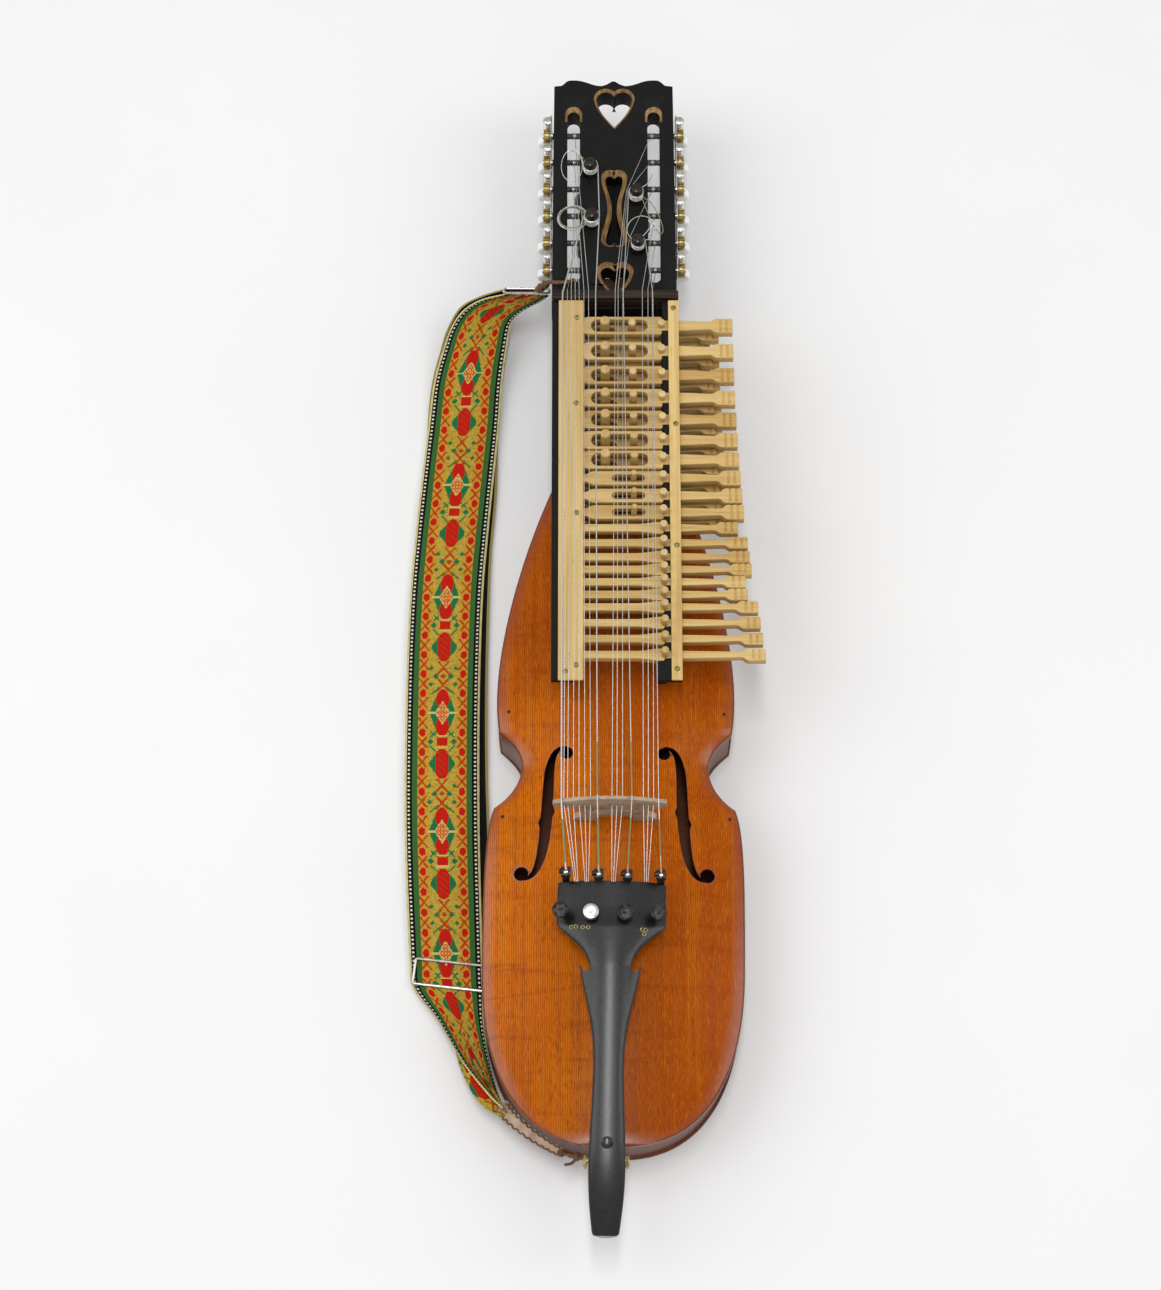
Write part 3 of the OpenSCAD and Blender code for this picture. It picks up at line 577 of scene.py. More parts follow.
def widened(outline, by):
    """The same opening with its edge moved outwards, for a chamfer."""
    area = sum(a[0] * b[1] - b[0] * a[1] for a, b in zip(outline, outline[1:] + outline[:1]))
    sign = 1 if area > 0 else -1
    moved = []
    for before, here, after in zip(outline[-1:] + outline[:-1], outline, outline[1:] + outline[:1]):
        u = Vector(here) - Vector(before)
        v = Vector(after) - Vector(here)
        u, v = u.normalized(), v.normalized()
        n = Vector(((u.y + v.y), -(u.x + v.x))) * sign
        n = n / max(0.9, n.length_squared / 2 + 0.2) if n.length > 1e-6 else n
        moved.append((here[0] + n.x * by, here[1] + n.y * by))
    return moved


head_board = bmesh.new()
slots = [long_slot(NECK_SHIFT - 0.6 - SLOT_OFFSET), long_slot(NECK_SHIFT - 0.6 + SLOT_OFFSET)]
hearts = [heart(NECK_SHIFT, 558.5, 28, 31), heart(NECK_SHIFT, 412, 24.5, 26)]
sand_glass = hourglass(NECK_SHIFT - 0.3, 486.5)
hearts[1] = widened(hearts[1], -1.2)
bores = [arc(px, py, PEG_RADIUS + 0.05, 0, 345, 23) for px, py in PEG_PLACES.values()]
sawn(head_board, [head_outline()] + slots + hearts + bores, HEAD_BACK, HEAD_FACE, 0.7, rounding=2)
blank = finished("head_board", head_board, [lacquer, bare_edge], stands_for=("head",))
for outline, depth, floor_z in ((hearts[0], 2.4, None), (hearts[1], 3.8, None), (sand_glass, 4.2, 66),
                                (slots[0], 2.2, None), (slots[1], 2.2, None)):
    chamfer = bmesh.new()
    if outline in slots:
        tip = SLOT_START + SLOT_LENGTH - SLOT_WIDTH
        outline = [(px, max(py, tip)) for px, py in outline]
        spread = [(px + (px - sum(q[0] for q in outline) / len(outline)) * 0.36, py + max(0, py - tip) * 0.36)
                  for px, py in outline]
    else:
        spread = widened(outline, depth * 0.9)
    lofted(chamfer, [[(px, py, HEAD_FACE - depth) for px, py in outline],
                     [(qx + (qx - px) * 0.2, qy + (qy - py) * 0.2, HEAD_FACE + depth * 0.2)
                      for (px, py), (qx, qy) in zip(outline, spread)]])
    cut_through(blank, chamfer, tolerant=True)
    if floor_z:
        well = bmesh.new()
        sawn(well, [outline], floor_z, HEAD_FACE + 2, 0.01, rounding=0)
        cut_through(blank, well, tolerant=True)
for polygon in blank.data.polygons:
    slope = polygon.normal.z
    if 0.25 < slope < 0.93 and HEAD_FACE - 4.4 < polygon.center.z / MM < HEAD_FACE - 0.05:
        cx, cy = polygon.center.x / MM, polygon.center.y / MM
        at_slot = abs(abs(cx - NECK_SHIFT + 0.6) - SLOT_OFFSET) < 8 and cy < SLOT_START + SLOT_LENGTH - SLOT_WIDTH
        at_peg = any(hypot(cx - px, cy - py) < PEG_RADIUS + 2 for px, py in PEG_PLACES.values())
        if abs(cx - NECK_SHIFT) < 40 and HEAD_START + 3 < cy < CROWN + 1 and not at_slot and not at_peg:
            polygon.material_index = 1

# ---------------------------------------------------------------- Nut
# A dark rosewood bar across the end of the key box, notched for the strings.
rosewood = Finish("nut_wood")
x, y, z = rosewood.axes()
vein = rosewood.noise(rosewood.stretched((12, 500, 300)), 1.0, 3.0)
rosewood.surface(Base_Color=rosewood.ramp(vein, (0.34, (0.012, 0.008, 0.006)), (0.66, (0.055, 0.034, 0.024))),
                 Roughness=0.42, Normal=rosewood.bump(vein, 0.00004))
refinish("nut", rosewood, 1.0)

# ---------------------------------------------------------------- Friction pegs
# Four turned ebony pegs pushed through tapered bores in the head: a rounded top that the
# string winds on, a collar under the head, and a flat oval grip below it.
ebony = Finish("peg_black")
turning = ebony.noise(ebony.stretched((500, 500, 60)), 1.0, 3.0)
ebony.surface(Base_Color=ebony.ramp(turning, (0.35, (0.006, 0.005, 0.005)), (0.7, (0.030, 0.024, 0.020))),
              Roughness=turning * 0.2 + 0.22, Coat_Weight=0.4, Coat_Roughness=0.12,
              Normal=ebony.bump(turning, 0.00004))
STEEL_TONES = ((0.52, 0.51, 0.48), (0.82, 0.81, 0.78))
steel = Finish("string_steel")
speck = steel.noise(steel.place(), 700, 3.0)
steel.surface(Base_Color=steel.ramp(speck, (0.3, STEEL_TONES[0]), (0.7, STEEL_TONES[1])), Metallic=0.85,
              Roughness=speck * 0.15 + 0.26)


def swept(mesh, path, radius, sides=8, finish=0, closed=False):
    """Adds a wire of one radius, or one radius a point, along a path."""
    path = [Vector(point) for point in path]
    count = len(path)
    radii = radius if hasattr(radius, "__len__") else [radius] * count
    across, rings = None, []
    for i, point in enumerate(path):
        ahead = path[(i + 1) % count] if closed else path[min(i + 1, count - 1)]
        behind = path[i - 1] if closed or i else path[0]
        run = (ahead - behind).normalized()
        if across is None:
            across = run.orthogonal().normalized()
        across = (across - run * across.dot(run)).normalized()
        other = run.cross(across)
        rings.append([mesh.verts.new(point + radii[i] * (across * cos(2 * pi * k / sides)
                                                         + other * sin(2 * pi * k / sides))) for k in range(sides)])
    pairs = list(zip(rings, rings[1:]))
    if closed:
        twist = min(range(sides), key=lambda k: (rings[-1][0].co - rings[0][k].co).length)
        pairs.append((rings[-1], rings[0][twist:] + rings[0][:twist]))
    for low_ring, high_ring in pairs:
        for k in range(sides):
            mesh.faces.new((low_ring[k], low_ring[(k + 1) % sides], high_ring[(k + 1) % sides],
                            high_ring[k])).material_index = finish
    if not closed:
        mesh.faces.new(rings[0][::-1]).material_index = finish
        mesh.faces.new(rings[-1]).material_index = finish


def smooth_path(points, steps=6):
    """A curve through the given points."""
    points = [Vector(point) for point in points]
    points = [points[0] * 2 - points[1]] + points + [points[-1] * 2 - points[-2]]
    path = []
    for a, b, c, d in zip(points, points[1:], points[2:], points[3:]):
        for i in range(steps):
            t = i / steps
            path.append(0.5 * (2 * b + (c - a) * t + (2 * a - 5 * b + 4 * c - d) * t * t
                               + (3 * b - a - 3 * c + d) * t ** 3))
    return path + [points[-2]]


def moved(mesh, faces, matrix):
    bmesh.ops.transform(mesh, matrix=matrix, verts=list({v for face in faces for v in face.verts}))


for name, (px, py) in PEG_PLACES.items():
    peg = bmesh.new()
    turned(peg, [(4.2, 48), (4.2, 52.6), (6.2, 53), (7, 54.2), (7, 57.4), (6.4, 59), (4.95, 59.4), (4.9, 84),
                 (4.75, 99), (4.6, 102.2), (3.9, 103.5), (2.4, 104)], (px, py, 0), sides=32)
    grip = sawn(peg, [arc(0, 0, 12, 0, 350, 35)], -3.8, 3.8, 1.8, rounding=3)
    moved(peg, grip, Matrix.Translation((px, py, 38)) @ Matrix.Rotation(pi / 2, 4, "X"))
    turned(peg, [(1.9, -4.6), (1.9, 4.6)], (px, py, 38), axis=(0, 1, 0), sides=16)
    finished(f"{name}_ebony", peg, [ebony], body=name, stands_for=(name,))
    wire = {"g_peg": 0.5, "drone_peg": 0.62, "c_peg": 0.42, "a_peg": 0.32}[name]
    coil = bmesh.new()
    turns = 6 if wire > 0.45 else 8
    swept(coil, [(px + (4.9 + wire) * cos(2 * pi * i / 20), py + (4.9 + wire) * sin(2 * pi * i / 20),
                  98.2 - 2.15 * wire * i / 20) for i in range(turns * 20)], wire)
    finished(f"{name}_windings", coil, [steel], body=name)

# ---------------------------------------------------------------- Machine heads
# Twelve guitar machine heads on the sides of the head, one for each sympathetic string: a
# nickel plate, a post through the slot, a brass gear, a nickel worm and a pearl button.
nickel = Finish("nickel")
haze = nickel.noise(nickel.place(), 260, 4.0)
nickel.surface(Base_Color=nickel.ramp(haze, (0.3, (0.40, 0.39, 0.36)), (0.7, (0.72, 0.71, 0.68))), Metallic=0.9,
               Roughness=haze * 0.2 + 0.2, Normal=nickel.bump(haze, 0.00003))
brass = Finish("brass")
tarnish = brass.noise(brass.place(), 300, 4.0)
brass.surface(Base_Color=brass.ramp(tarnish, (0.3, (0.27, 0.20, 0.075)), (0.7, (0.58, 0.47, 0.22))), Metallic=0.85,
              Roughness=tarnish * 0.25 + 0.25, Normal=brass.bump(tarnish, 0.00004))
pearl = Finish("pearl")
swirl = pearl.noise(pearl.place(), 120, 3.0, 0.6, 1.5)
pearl.surface(Base_Color=pearl.ramp(swirl, (0.3, (0.86, 0.85, 0.82)), (0.7, (0.96, 0.955, 0.94))), Roughness=0.22,
              Coat_Weight=0.6, Coat_Roughness=0.08)
dull = Finish("dull_post")
film = dull.noise(dull.place(), 350, 3.0)
dull.surface(Base_Color=dull.ramp(film, (0.3, (0.055, 0.052, 0.045)), (0.7, (0.16, 0.15, 0.125))), Metallic=0.4,
             Roughness=film * 0.2 + 0.45)
TUNER_FIRST, TUNER_PITCH, POST_HEIGHT = 438, 23.4, 74
to_side = Matrix.Rotation(pi / 2, 4, "Y")
for side in (-1, 1):
    for number in range(6):
        unit = bmesh.new()
        plate_line = arc(6, 13, 2, 0, 90, 4) + arc(-6, 13, 2, 90, 180, 4) + arc(-6, -3, 2, 180, 270, 4) + arc(
            6, -3, 2, 270, 360, 4)
        moved(unit, sawn(unit, [plate_line], 48.25, 49.4, 0.3), to_side)
        turned(unit, [(2.3, 23.4), (2.3, 33), (1.8, 33.6), (2.3, 34.2), (2.3, 49)], (0, 0, 0), (1, 0, 0), 18, 3)
        turned(unit, [(3.4, 47.9), (3.4, 49.9)], (0, 0, 0), (1, 0, 0), 18)
        gear = [(r * cos(2 * pi * (i + 0.5 * k) / 16), r * sin(2 * pi * (i + 0.5 * k) / 16))
                for i in range(16) for k, r in ((-0.45, 4.5), (-0.22, 5.8), (0.22, 5.8), (0.45, 4.5))]
        moved(unit, sawn(unit, [gear], 49.6, 54.8, 0.4, finish=1), to_side)
        turned(unit, [(2.4, 54.4), (2.4, 55.2), (1.6, 55.7)], (0, 0, 0), (1, 0, 0), 18, 0)
        threads = [(3.2 if i % 2 else 2.3, -4.5 + i * 0.73) for i in range(16)]
        turned(unit, [(1.6, -20), (1.6, -5.2), (2.6, -5.1)] + threads
               + [(3.5, 6.6), (3.5, 8.0), (2.6, 8.8), (1.2, 9.0)], (51.6, 9.4, 0), sides=18)
        for low in (-7.6, 6.9):
            ear = arc(51.6, 9.4, 3.3, -90, 90, 8) + [(49, 12.7), (49, 6.1)]
            sawn(unit, [ear], low, low + 1.5, 0.25)
        button = sawn(unit, [[(8.9 * cos(a * pi / 18) * (1 - 0.10 * cos(a * pi / 9)), 6.8 * sin(a * pi / 18))
                              for a in range(36)]], -3.4, 3.4, 1.9, finish=2, rounding=4)
        moved(unit, button, Matrix.Translation((51.6, 9.4, -27)) @ Matrix.Rotation(pi / 2, 4, "X"))
        mirror = Matrix.Diagonal((side, 1, 1, 1))
        place = Matrix.Translation((NECK_SHIFT - 0.6, TUNER_FIRST + number * TUNER_PITCH, POST_HEIGHT)) @ mirror
        bmesh.ops.transform(unit, matrix=place, verts=unit.verts)
        finished(f"machine_head_{'left' if side < 0 else 'right'}_{number + 1}", unit, [nickel, brass, pearl, dull],
                 stands_for=("sympathetic_tuners",))

# ---------------------------------------------------------------- Key box
# Two black boards glued up the sides of the neck, combed with three rows of slots for the
# keys, and covered by two birch rails held with round-headed brass screws.
refinish("key_box_boards", lacquer, 0.4)


def birch(name, along, tones):
    """Oiled birch: fine fibres along the piece, a few brown flecks, and a slow change of tone."""
    finish = Finish(name)
    fine, slow = ((14, 900, 500), (5, 60, 60)) if along == "x" else ((900, 14, 500), (60, 5, 60))
    fibres = finish.noise(finish.stretched(fine), 1.0, 3.0, 0.6)
    drift = finish.noise(finish.stretched(slow), 1.0, 2.0)
    flecks = finish.step(finish.noise(finish.stretched(tuple(v * 0.6 + 30 for v in fine)), 1.0, 2.0), 0.64, 0.72)
    tone = finish.ramp(fibres * 0.45 + drift * 0.55, *zip((0.36, 0.50, 0.64), tones))
    tone = finish.mix(flecks * 0.35, tone, tuple(v * 0.45 for v in tones[0]))
    finish.surface(Base_Color=tone, Roughness=fibres * 0.15 + 0.40, Coat_Weight=0.12, Coat_Roughness=0.25,
                   Normal=finish.bump(fibres, 0.00004))
    return finish


rail_birch = birch("birch_rail", "y", ((0.50, 0.33, 0.115), (0.62, 0.43, 0.165), (0.72, 0.53, 0.23)))
refinish("cap_rails", rail_birch, 0.5)
SCREWS = [(-27.8, 386, 20), (-28.4, 315, 70), (-27.9, 226, 110), (-28.4, 106, 40), (-36.2, 101, 150),
          (45.5, 394, 80), (46.5, 298, 20), (46.3, 200, 130), (45.6, 103, 60)]
rail_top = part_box("cap_rails")[1][2] / MM
screws, driver = bmesh.new(), bmesh.new()
for px, py, angle in SCREWS:
    turned(screws, [(2.1, -0.8), (2.1, 0.1), (1.7, 0.55), (0.9, 0.82), (0.3, 0.88)], (px, py, rail_top), sides=20)
    slot_line = turned_by([(-3, -0.3), (3, -0.3), (3, 0.3), (-3, 0.3)], angle, shift=(px, py))
    sawn(driver, [slot_line], rail_top + 0.25, rail_top + 2, 0.01, rounding=0)
screw_brass = Finish("screw_brass")
age = screw_brass.noise(screw_brass.place(), 500, 3.0)
screw_brass.surface(Base_Color=screw_brass.ramp(age, (0.3, (0.15, 0.12, 0.03)), (0.7, (0.40, 0.33, 0.11))),
                    Metallic=0.7, Roughness=age * 0.2 + 0.35)
cut_through(finished("rail_screw_heads", screws, [screw_brass], stands_for=("rail_screws",)), driver)

# ---------------------------------------------------------------- Keys
# Thirty-seven birch keys in three rows. Each is one bar that slides in the combs, with a
# round peg set in it as the tangent and a grooved paddle for the finger. The wide bars of
# the upper two rows are pierced so that the tangents of the rows below can pass.
KEY_TOP, KEY_THICK, ROW_PITCH, SCALE, TRAVEL = 96, 8, 14, 400, 2.5
ROWS = {"a": (20, 0), "c": (10, 1), "g": (7, 2)}
LEFT_COMB, LEFT_FACE, RIGHT_FACE, RIGHT_SIDE = -41.5, -30, 37, 49.5
PADDLE = 13.5
STRINGS = {"g": (-13, -13.5, 113.5, 0.5), "drone": (-38.7, -38.6, 107.3, 0.65), "c": (11.6, 7.5, 114, 0.4),
           "a": (30.8, 30, 107.6, 0.3)}
NUT_TOP = 101
key_birch = birch("birch_key", "x", ((0.42, 0.255, 0.075), (0.56, 0.375, 0.135), (0.66, 0.475, 0.20)))
peg_birch = birch("birch_tangent", "y", ((0.42, 0.27, 0.10), (0.56, 0.39, 0.17), (0.68, 0.52, 0.27)))


def bar_y(k):
    if k <= 13:
        return SCALE * 2 ** (-k / 12) + 3
    return bar_y(13) - 9.9 * (k - 13) if k <= 17 else bar_y(17) - 12.4 * (k - 17)


def string_at(row, y):
    at_bridge, at_nut, height, _ = STRINGS[row]
    return at_bridge + (at_nut - at_bridge) * y / SCALE, height + (NUT_TOP - height) * y / SCALE


def key_side(row, k):
    """Half the outline of a key seen from above, from its tail to its paddle."""
    bar = (14.6 if k <= 7 else (11 if row == "a" else 9) if k <= 10 else 5.8) / 2
    shoulder = (14.6 if k <= 7 else 11 if k <= 10 else 9.3) / 2
    stem = (8.4 if k <= 7 else 7 if k <= 10 else 5.8) / 2
    tail, paddle = 2.9, (11.8 if k <= 10 else 9.3) / 2
    end = reach(row, k)
    flare = end - PADDLE
    widen = LEFT_FACE + 3.2 if k <= 7 else -22
    side = [(LEFT_COMB + TRAVEL + 1.8, tail), (widen, tail)]
    if bar > tail:
        side += bezier((widen, tail), (widen + 3, tail), (widen + 3, bar), (widen + 8, bar), 7)
    if shoulder > bar:
        side += bezier((14, bar), (22, bar), (26, shoulder - 0.6), (RIGHT_FACE - 6, shoulder), 7)
    side += [(RIGHT_FACE - 1.2, shoulder), (RIGHT_FACE - 0.4, shoulder - 0.8), (RIGHT_FACE - 0.4, stem)]
    side += [(RIGHT_SIDE + 2, stem)]
    side += bezier((RIGHT_SIDE + 2, stem), (flare - 14, stem - 0.4), (flare - 8, stem - 0.9),
                   (flare - 5, stem - 0.9), 6)
    side += bezier((flare - 5, stem - 0.9), (flare - 1, stem - 0.9), (flare - 2, paddle), (flare + 2.2, paddle), 7)
    return side + [(flare + 3.4, paddle)]


def reach(row, k):
    fall = {"a": 0, "c": 10, "g": 16}[row] + (6 if k in (11, 15, 16) else 0)
    return 90.5 + 20 * ((k - 1) / 19) ** 1.6 - fall


def window(x_low, x_high, width, y):
    r = width / 2
    return arc(x_high - r, y, r, -90, 90, 8) + arc(x_low + r, y, r, 90, 270, 8)


for row, (count, depth) in ROWS.items():
    top = KEY_TOP - ROW_PITCH * depth
    for k in range(1, count + 1):
        node, y0, end = f"{row}_key_{k:02d}", bar_y(k), reach(row, k)
        side = key_side(row, k)
        slant = 0.5
        outline = ([(px, y0 + py) for px, py in side] + [(end - slant, y0 + side[-1][1]), (end, y0 + side[-1][1] - 1),
                    (end, y0 - side[-1][1])] + [(px, y0 - py) for px, py in reversed(side)])
        openings = []
        if row != "g" and k <= 7:
            openings.append(window(-17, 26 if row == "a" else 3, 10, y0))
        if row == "a" and 7 < k <= 10:
            openings.append(window(-1.5, 23, 5.8, y0))
        key = bmesh.new()
        faces = sawn(key, [outline] + openings, top - KEY_THICK, top, 0.45)
        for part in (0.33, 0.67):
            middle = end - PADDLE * part
            for offset in (-1.1, -0.6, 0, 0.6, 1.1):
                bmesh.ops.bisect_plane(key, geom=list(key.verts) + list(key.edges) + list(key.faces), dist=1e-5,
                                       plane_co=(middle + offset, 0, 0), plane_no=(1, 0, 0))
            for vertex in key.verts:
                away = abs(vertex.co.x - middle)
                if away < 1.05 and vertex.co.z > top - 0.6:
                    vertex.co.z -= 1.15 * (1 - (away / 1.1) ** 2)
        radius = 3.6 if row == "g" else 2.8 if row == "a" else 2.9 if k <= 7 else 2.2
        px = string_at(row, y0)[0] + TRAVEL + radius + 0.9
        crown = string_at(row, y0)[1] + (4 if row == "g" else 1.2)
        turned(key, [(radius, top - 1), (radius, crown - 0.9), (radius - 0.4, crown - 0.25), (radius - 0.9, crown)],
               (px, y0, 0), sides=22, finish=1)
        finished(f"{node}_birch", key, [key_birch, peg_birch], body=node, stands_for=(node,), crease=30)

# ---------------------------------------------------------------- Bridge
# A maple bridge with a low arched top, a heart-like opening on each side and two feet cut to
# the arch of the soundboard. The sympathetic strings pass through a row of small holes.
maple = Finish("maple")
fleck = maple.step(maple.noise(maple.stretched((260, 900, 900)), 1.0, 2.0), 0.50, 0.66)
cloudy = maple.noise(maple.place(), 90, 3.0)
tone = maple.ramp(cloudy, (0.3, (0.33, 0.25, 0.17)), (0.7, (0.48, 0.39, 0.29)))
maple.surface(Base_Color=maple.mix(fleck * 0.45, tone, (0.20, 0.125, 0.07)), Roughness=cloudy * 0.2 + 0.38,
              Normal=maple.bump(fleck, 0.00003))
BRIDGE_TOP, FOOT = 114.5, RIB_TOP + TOP_THICK + ARCH_RISE
SYMPATHETIC_BRIDGE = (-37, -34.3, -30.2, -26.1, -21.9, -17.8, -2.5, 1.1, 5.1, 20, 23.6, 27.4)
half_arc = 10.3
line = [(-4 + 40.6 * i / 16, BRIDGE_TOP - half_arc * (i / 16) ** 2) for i in range(-16, 17)]
line += bezier(line[-1], (39, BRIDGE_TOP - 17), (34, BRIDGE_TOP - 21), (26, BRIDGE_TOP - 23), 8)
line += bezier((26, BRIDGE_TOP - 23), (23.4, BRIDGE_TOP - 27), (23.4, FOOT + 14), (25, FOOT + 10), 6)
line += bezier((25, FOOT + 10), (26.5, FOOT + 6.5), (30.5, FOOT + 6), (30.5, FOOT + 3), 5)
line += [(30.5, FOOT - 1.3), (22, FOOT - 0.72), (13, FOOT - 0.1), (13, FOOT + 6)]
line += bezier((13, FOOT + 6), (8, FOOT + 14), (-8, FOOT + 14), (-13, FOOT + 6), 12)
line += [(-13, FOOT - 0.1), (-22, FOOT - 0.72), (-30.5, FOOT - 1.3), (-30.5, FOOT + 3)]
line += bezier((-30.5, FOOT + 3), (-30.5, FOOT + 6), (-26.5, FOOT + 6.5), (-25, FOOT + 10), 5)
line += bezier((-25, FOOT + 10), (-23.4, FOOT + 14), (-24.4, BRIDGE_TOP - 27), (-28, BRIDGE_TOP - 23), 6)
line += bezier((-28, BRIDGE_TOP - 23), (-39, BRIDGE_TOP - 21), (-47, BRIDGE_TOP - 17),
               (-44.6, BRIDGE_TOP - half_arc), 8)[:-1]
holes = [arc(px, 102, 1.1, 0, 330, 11) for px in SYMPATHETIC_BRIDGE]
holes += [heart(px, FOOT + 19, 9, 9) for px in (-16, 12)]
bridge = bmesh.new()
board = sawn(bridge, [line] + holes, -2.2, 2.2, 0.35)
moved(bridge, board, Matrix.Rotation(pi / 2, 4, "X"))
for vertex in bridge.verts:
    vertex.co.y *= 1 - 0.42 * max(0, (vertex.co.z - FOOT) / (BRIDGE_TOP - FOOT)) ** 1.5
finished("arched_bridge", bridge, [maple], stands_for=("bridge",))

# ---------------------------------------------------------------- Tailpiece
# Carved from one piece of hardwood and finished in gloss black that has pulled into a fine
# orange peel. The head is a flat plate for the four fine tuners, with a step behind it; the
# stem rises to a rounded ridge, pinches to two small horns and bends down over the tail.
gloss = Finish("black_gloss")
x, y, z = gloss.axes()
peel = gloss.noise(gloss.place(), 780, 2.0, 0.5)
dimple = gloss.noise(gloss.place(), 420, 2.0, 0.5, 0.6)
tone = gloss.mix(gloss.step(peel, 0.55, 0.8) * 0.3, (0.004, 0.004, 0.0045), (0.018, 0.017, 0.017))
gloss.surface(Base_Color=tone, Roughness=dimple * 0.16 + 0.30, Specular_IOR_Level=0.12, Coat_Roughness=0.26,
              Coat_Weight=peel * 0.5 + dimple * 0.5 + 0.35,
              Normal=gloss.bump(peel * 0.4 + dimple, 0.00042))
TAIL_PLACE, TAIL_TURN = (-2.4, -53), -1.2
edge = [(37.4, 0), (38.4, -0.5), (38.8, -1.5), (39.0, -16), (39.2, -31)]
edge += bezier((39.2, -31), (36, -38.5), (20.5, -46), (16.2, -58), 12)
edge += [(15.2, -61.5), (15.0, -62.6), (21.8, -63.0)]
edge += bezier((21.8, -63.0), (18.6, -84), (11.2, -102), (10.8, -130), 18)
edge += bezier((10.8, -130), (10.6, -155), (13.0, -180), (13.0, -205), 14)
edge += bezier((13.0, -205), (13.0, -225), (10.6, -240), (9.6, -248), 8) + [(8.6, -249.4), (6.6, -250)]


def crown_height(y):
    """Height of the tailpiece's ridge: a low hump over the stem, then a fall to its tip."""
    if y > -180:
        t = -y / 180
        return 86 * (1 - t) ** 3 + 90 * 3 * t * (1 - t) ** 2 + 86 * 3 * t * t * (1 - t) + 80 * t ** 3
    t = (-180 - y) / 72
    return 80 - 5.2 * t - 12.8 * t * t


tail = bmesh.new()
sections = []
for px, py in edge:
    top = crown_height(py)
    plate_part = max(0.0, min(1.0, (py + 31.5) / 1.6))
    section = []
    for i in range(25):
        share = -1 + i / 12
        reach_x = px * sin(share * pi / 2) if abs(share) < 1 else px * share
        dome = (reach_x ** 2) / 240
        ridge = 0.9 * (1 - min(1, abs(reach_x) / 13) ** 2) * (1 - plate_part) * min(1, max(0, (-31 - py) / 30))
        soft = 1.6 * (abs(reach_x) / px) ** 10
        section.append((reach_x, py, top - dome - 0.9 * plate_part + ridge - 0.7 - soft))
    low = max(section[0][2] - 3.2, top - 9 - (px ** 2) / 240)
    section += [(px - 0.4, py, low + 0.8), (px - 1.6, py, low)]
    section += [(px * f, py, min(low, top - 9 + 0.8 * abs(f))) for f in (0.6, 0.2, -0.2, -0.6)]
    section += [(-px + 1.6, py, low), (-px + 0.4, py, low + 0.8)]
    sections.append(section)
lofted(tail, sections)
bmesh.ops.transform(tail, verts=tail.verts, matrix=Matrix.Translation((*TAIL_PLACE, 0)) @ Matrix.Rotation(
    radians(TAIL_TURN), 4, "Z"))
carving = finished("carved_tailpiece", tail, [gloss], stands_for=("tailpiece",), crease=38)
for side in (1, -1):
    bite = bmesh.new()
    sawn(bite, [turned_by(arc(side * 17.3, -63.6, 3.1, 0, 345, 23), TAIL_TURN, shift=TAIL_PLACE)],
         60, 100, 0.01, rounding=0)
    cut_through(carving, bite, tolerant=True)

# Brass eyelets in two groups behind the step, and a plug in the stem.
eyelets = bmesh.new()
for ex, ey in ((-28.4, -34.6), (-25.2, -34.4), (-20.2, -35), (-16.4, -35.2), (22.2, -35.8), (24.6, -36), (23.6, -39)):
    (qx, qy), = turned_by([(ex, ey)], TAIL_TURN, shift=TAIL_PLACE)
    height = crown_height(ey) - ex ** 2 / 240 - 0.55
    swept(eyelets, [(px, py, height) for px, py in arc(qx, qy, 1.25, 0, 345, 15)], 0.35, 6, closed=True)
finished("tail_eyelets", eyelets, [brass])
plug = bmesh.new()
(qx, qy), = turned_by([(0, -188)], TAIL_TURN, shift=TAIL_PLACE)
turned(plug, [(4.4, -4), (4.4, -0.2), (3.9, 0.25), (2.6, 0.5)], (qx, qy, crown_height(-188) + 0.3), (0, -0.16, 1), 28)
finished("tail_plug", plug, [ebony])

# ---------------------------------------------------------------- Fine tuners
# Four violin fine tuners let into the plate: a knurled screw, a lever under the plate, and a
# fork in front whose two prongs hold the ball of the string.
blackened = Finish("black_metal")
wear = blackened.noise(blackened.place(), 420, 3.0)
blackened.surface(Base_Color=blackened.ramp(wear, (0.35, (0.010, 0.010, 0.011)), (0.75, (0.075, 0.073, 0.070))),
                  Metallic=0.6, Roughness=wear * 0.2 + 0.26, Normal=blackened.bump(wear, 0.00003))
gold_ball = Finish("ball_brass")
gold_ball.surface(Base_Color=gold_ball.ramp(gold_ball.noise(gold_ball.place(), 600), (0.3, (0.55, 0.48, 0.33)),
                                            (0.7, (0.85, 0.80, 0.68))), Metallic=0.9, Roughness=0.25)
TUNERS = {"drone": (-37, -23.5, -33.1), "g": (-15.2, -25, -9.6), "c": (9.4, -25.5, 11), "a": (33, -25.8, 35)}
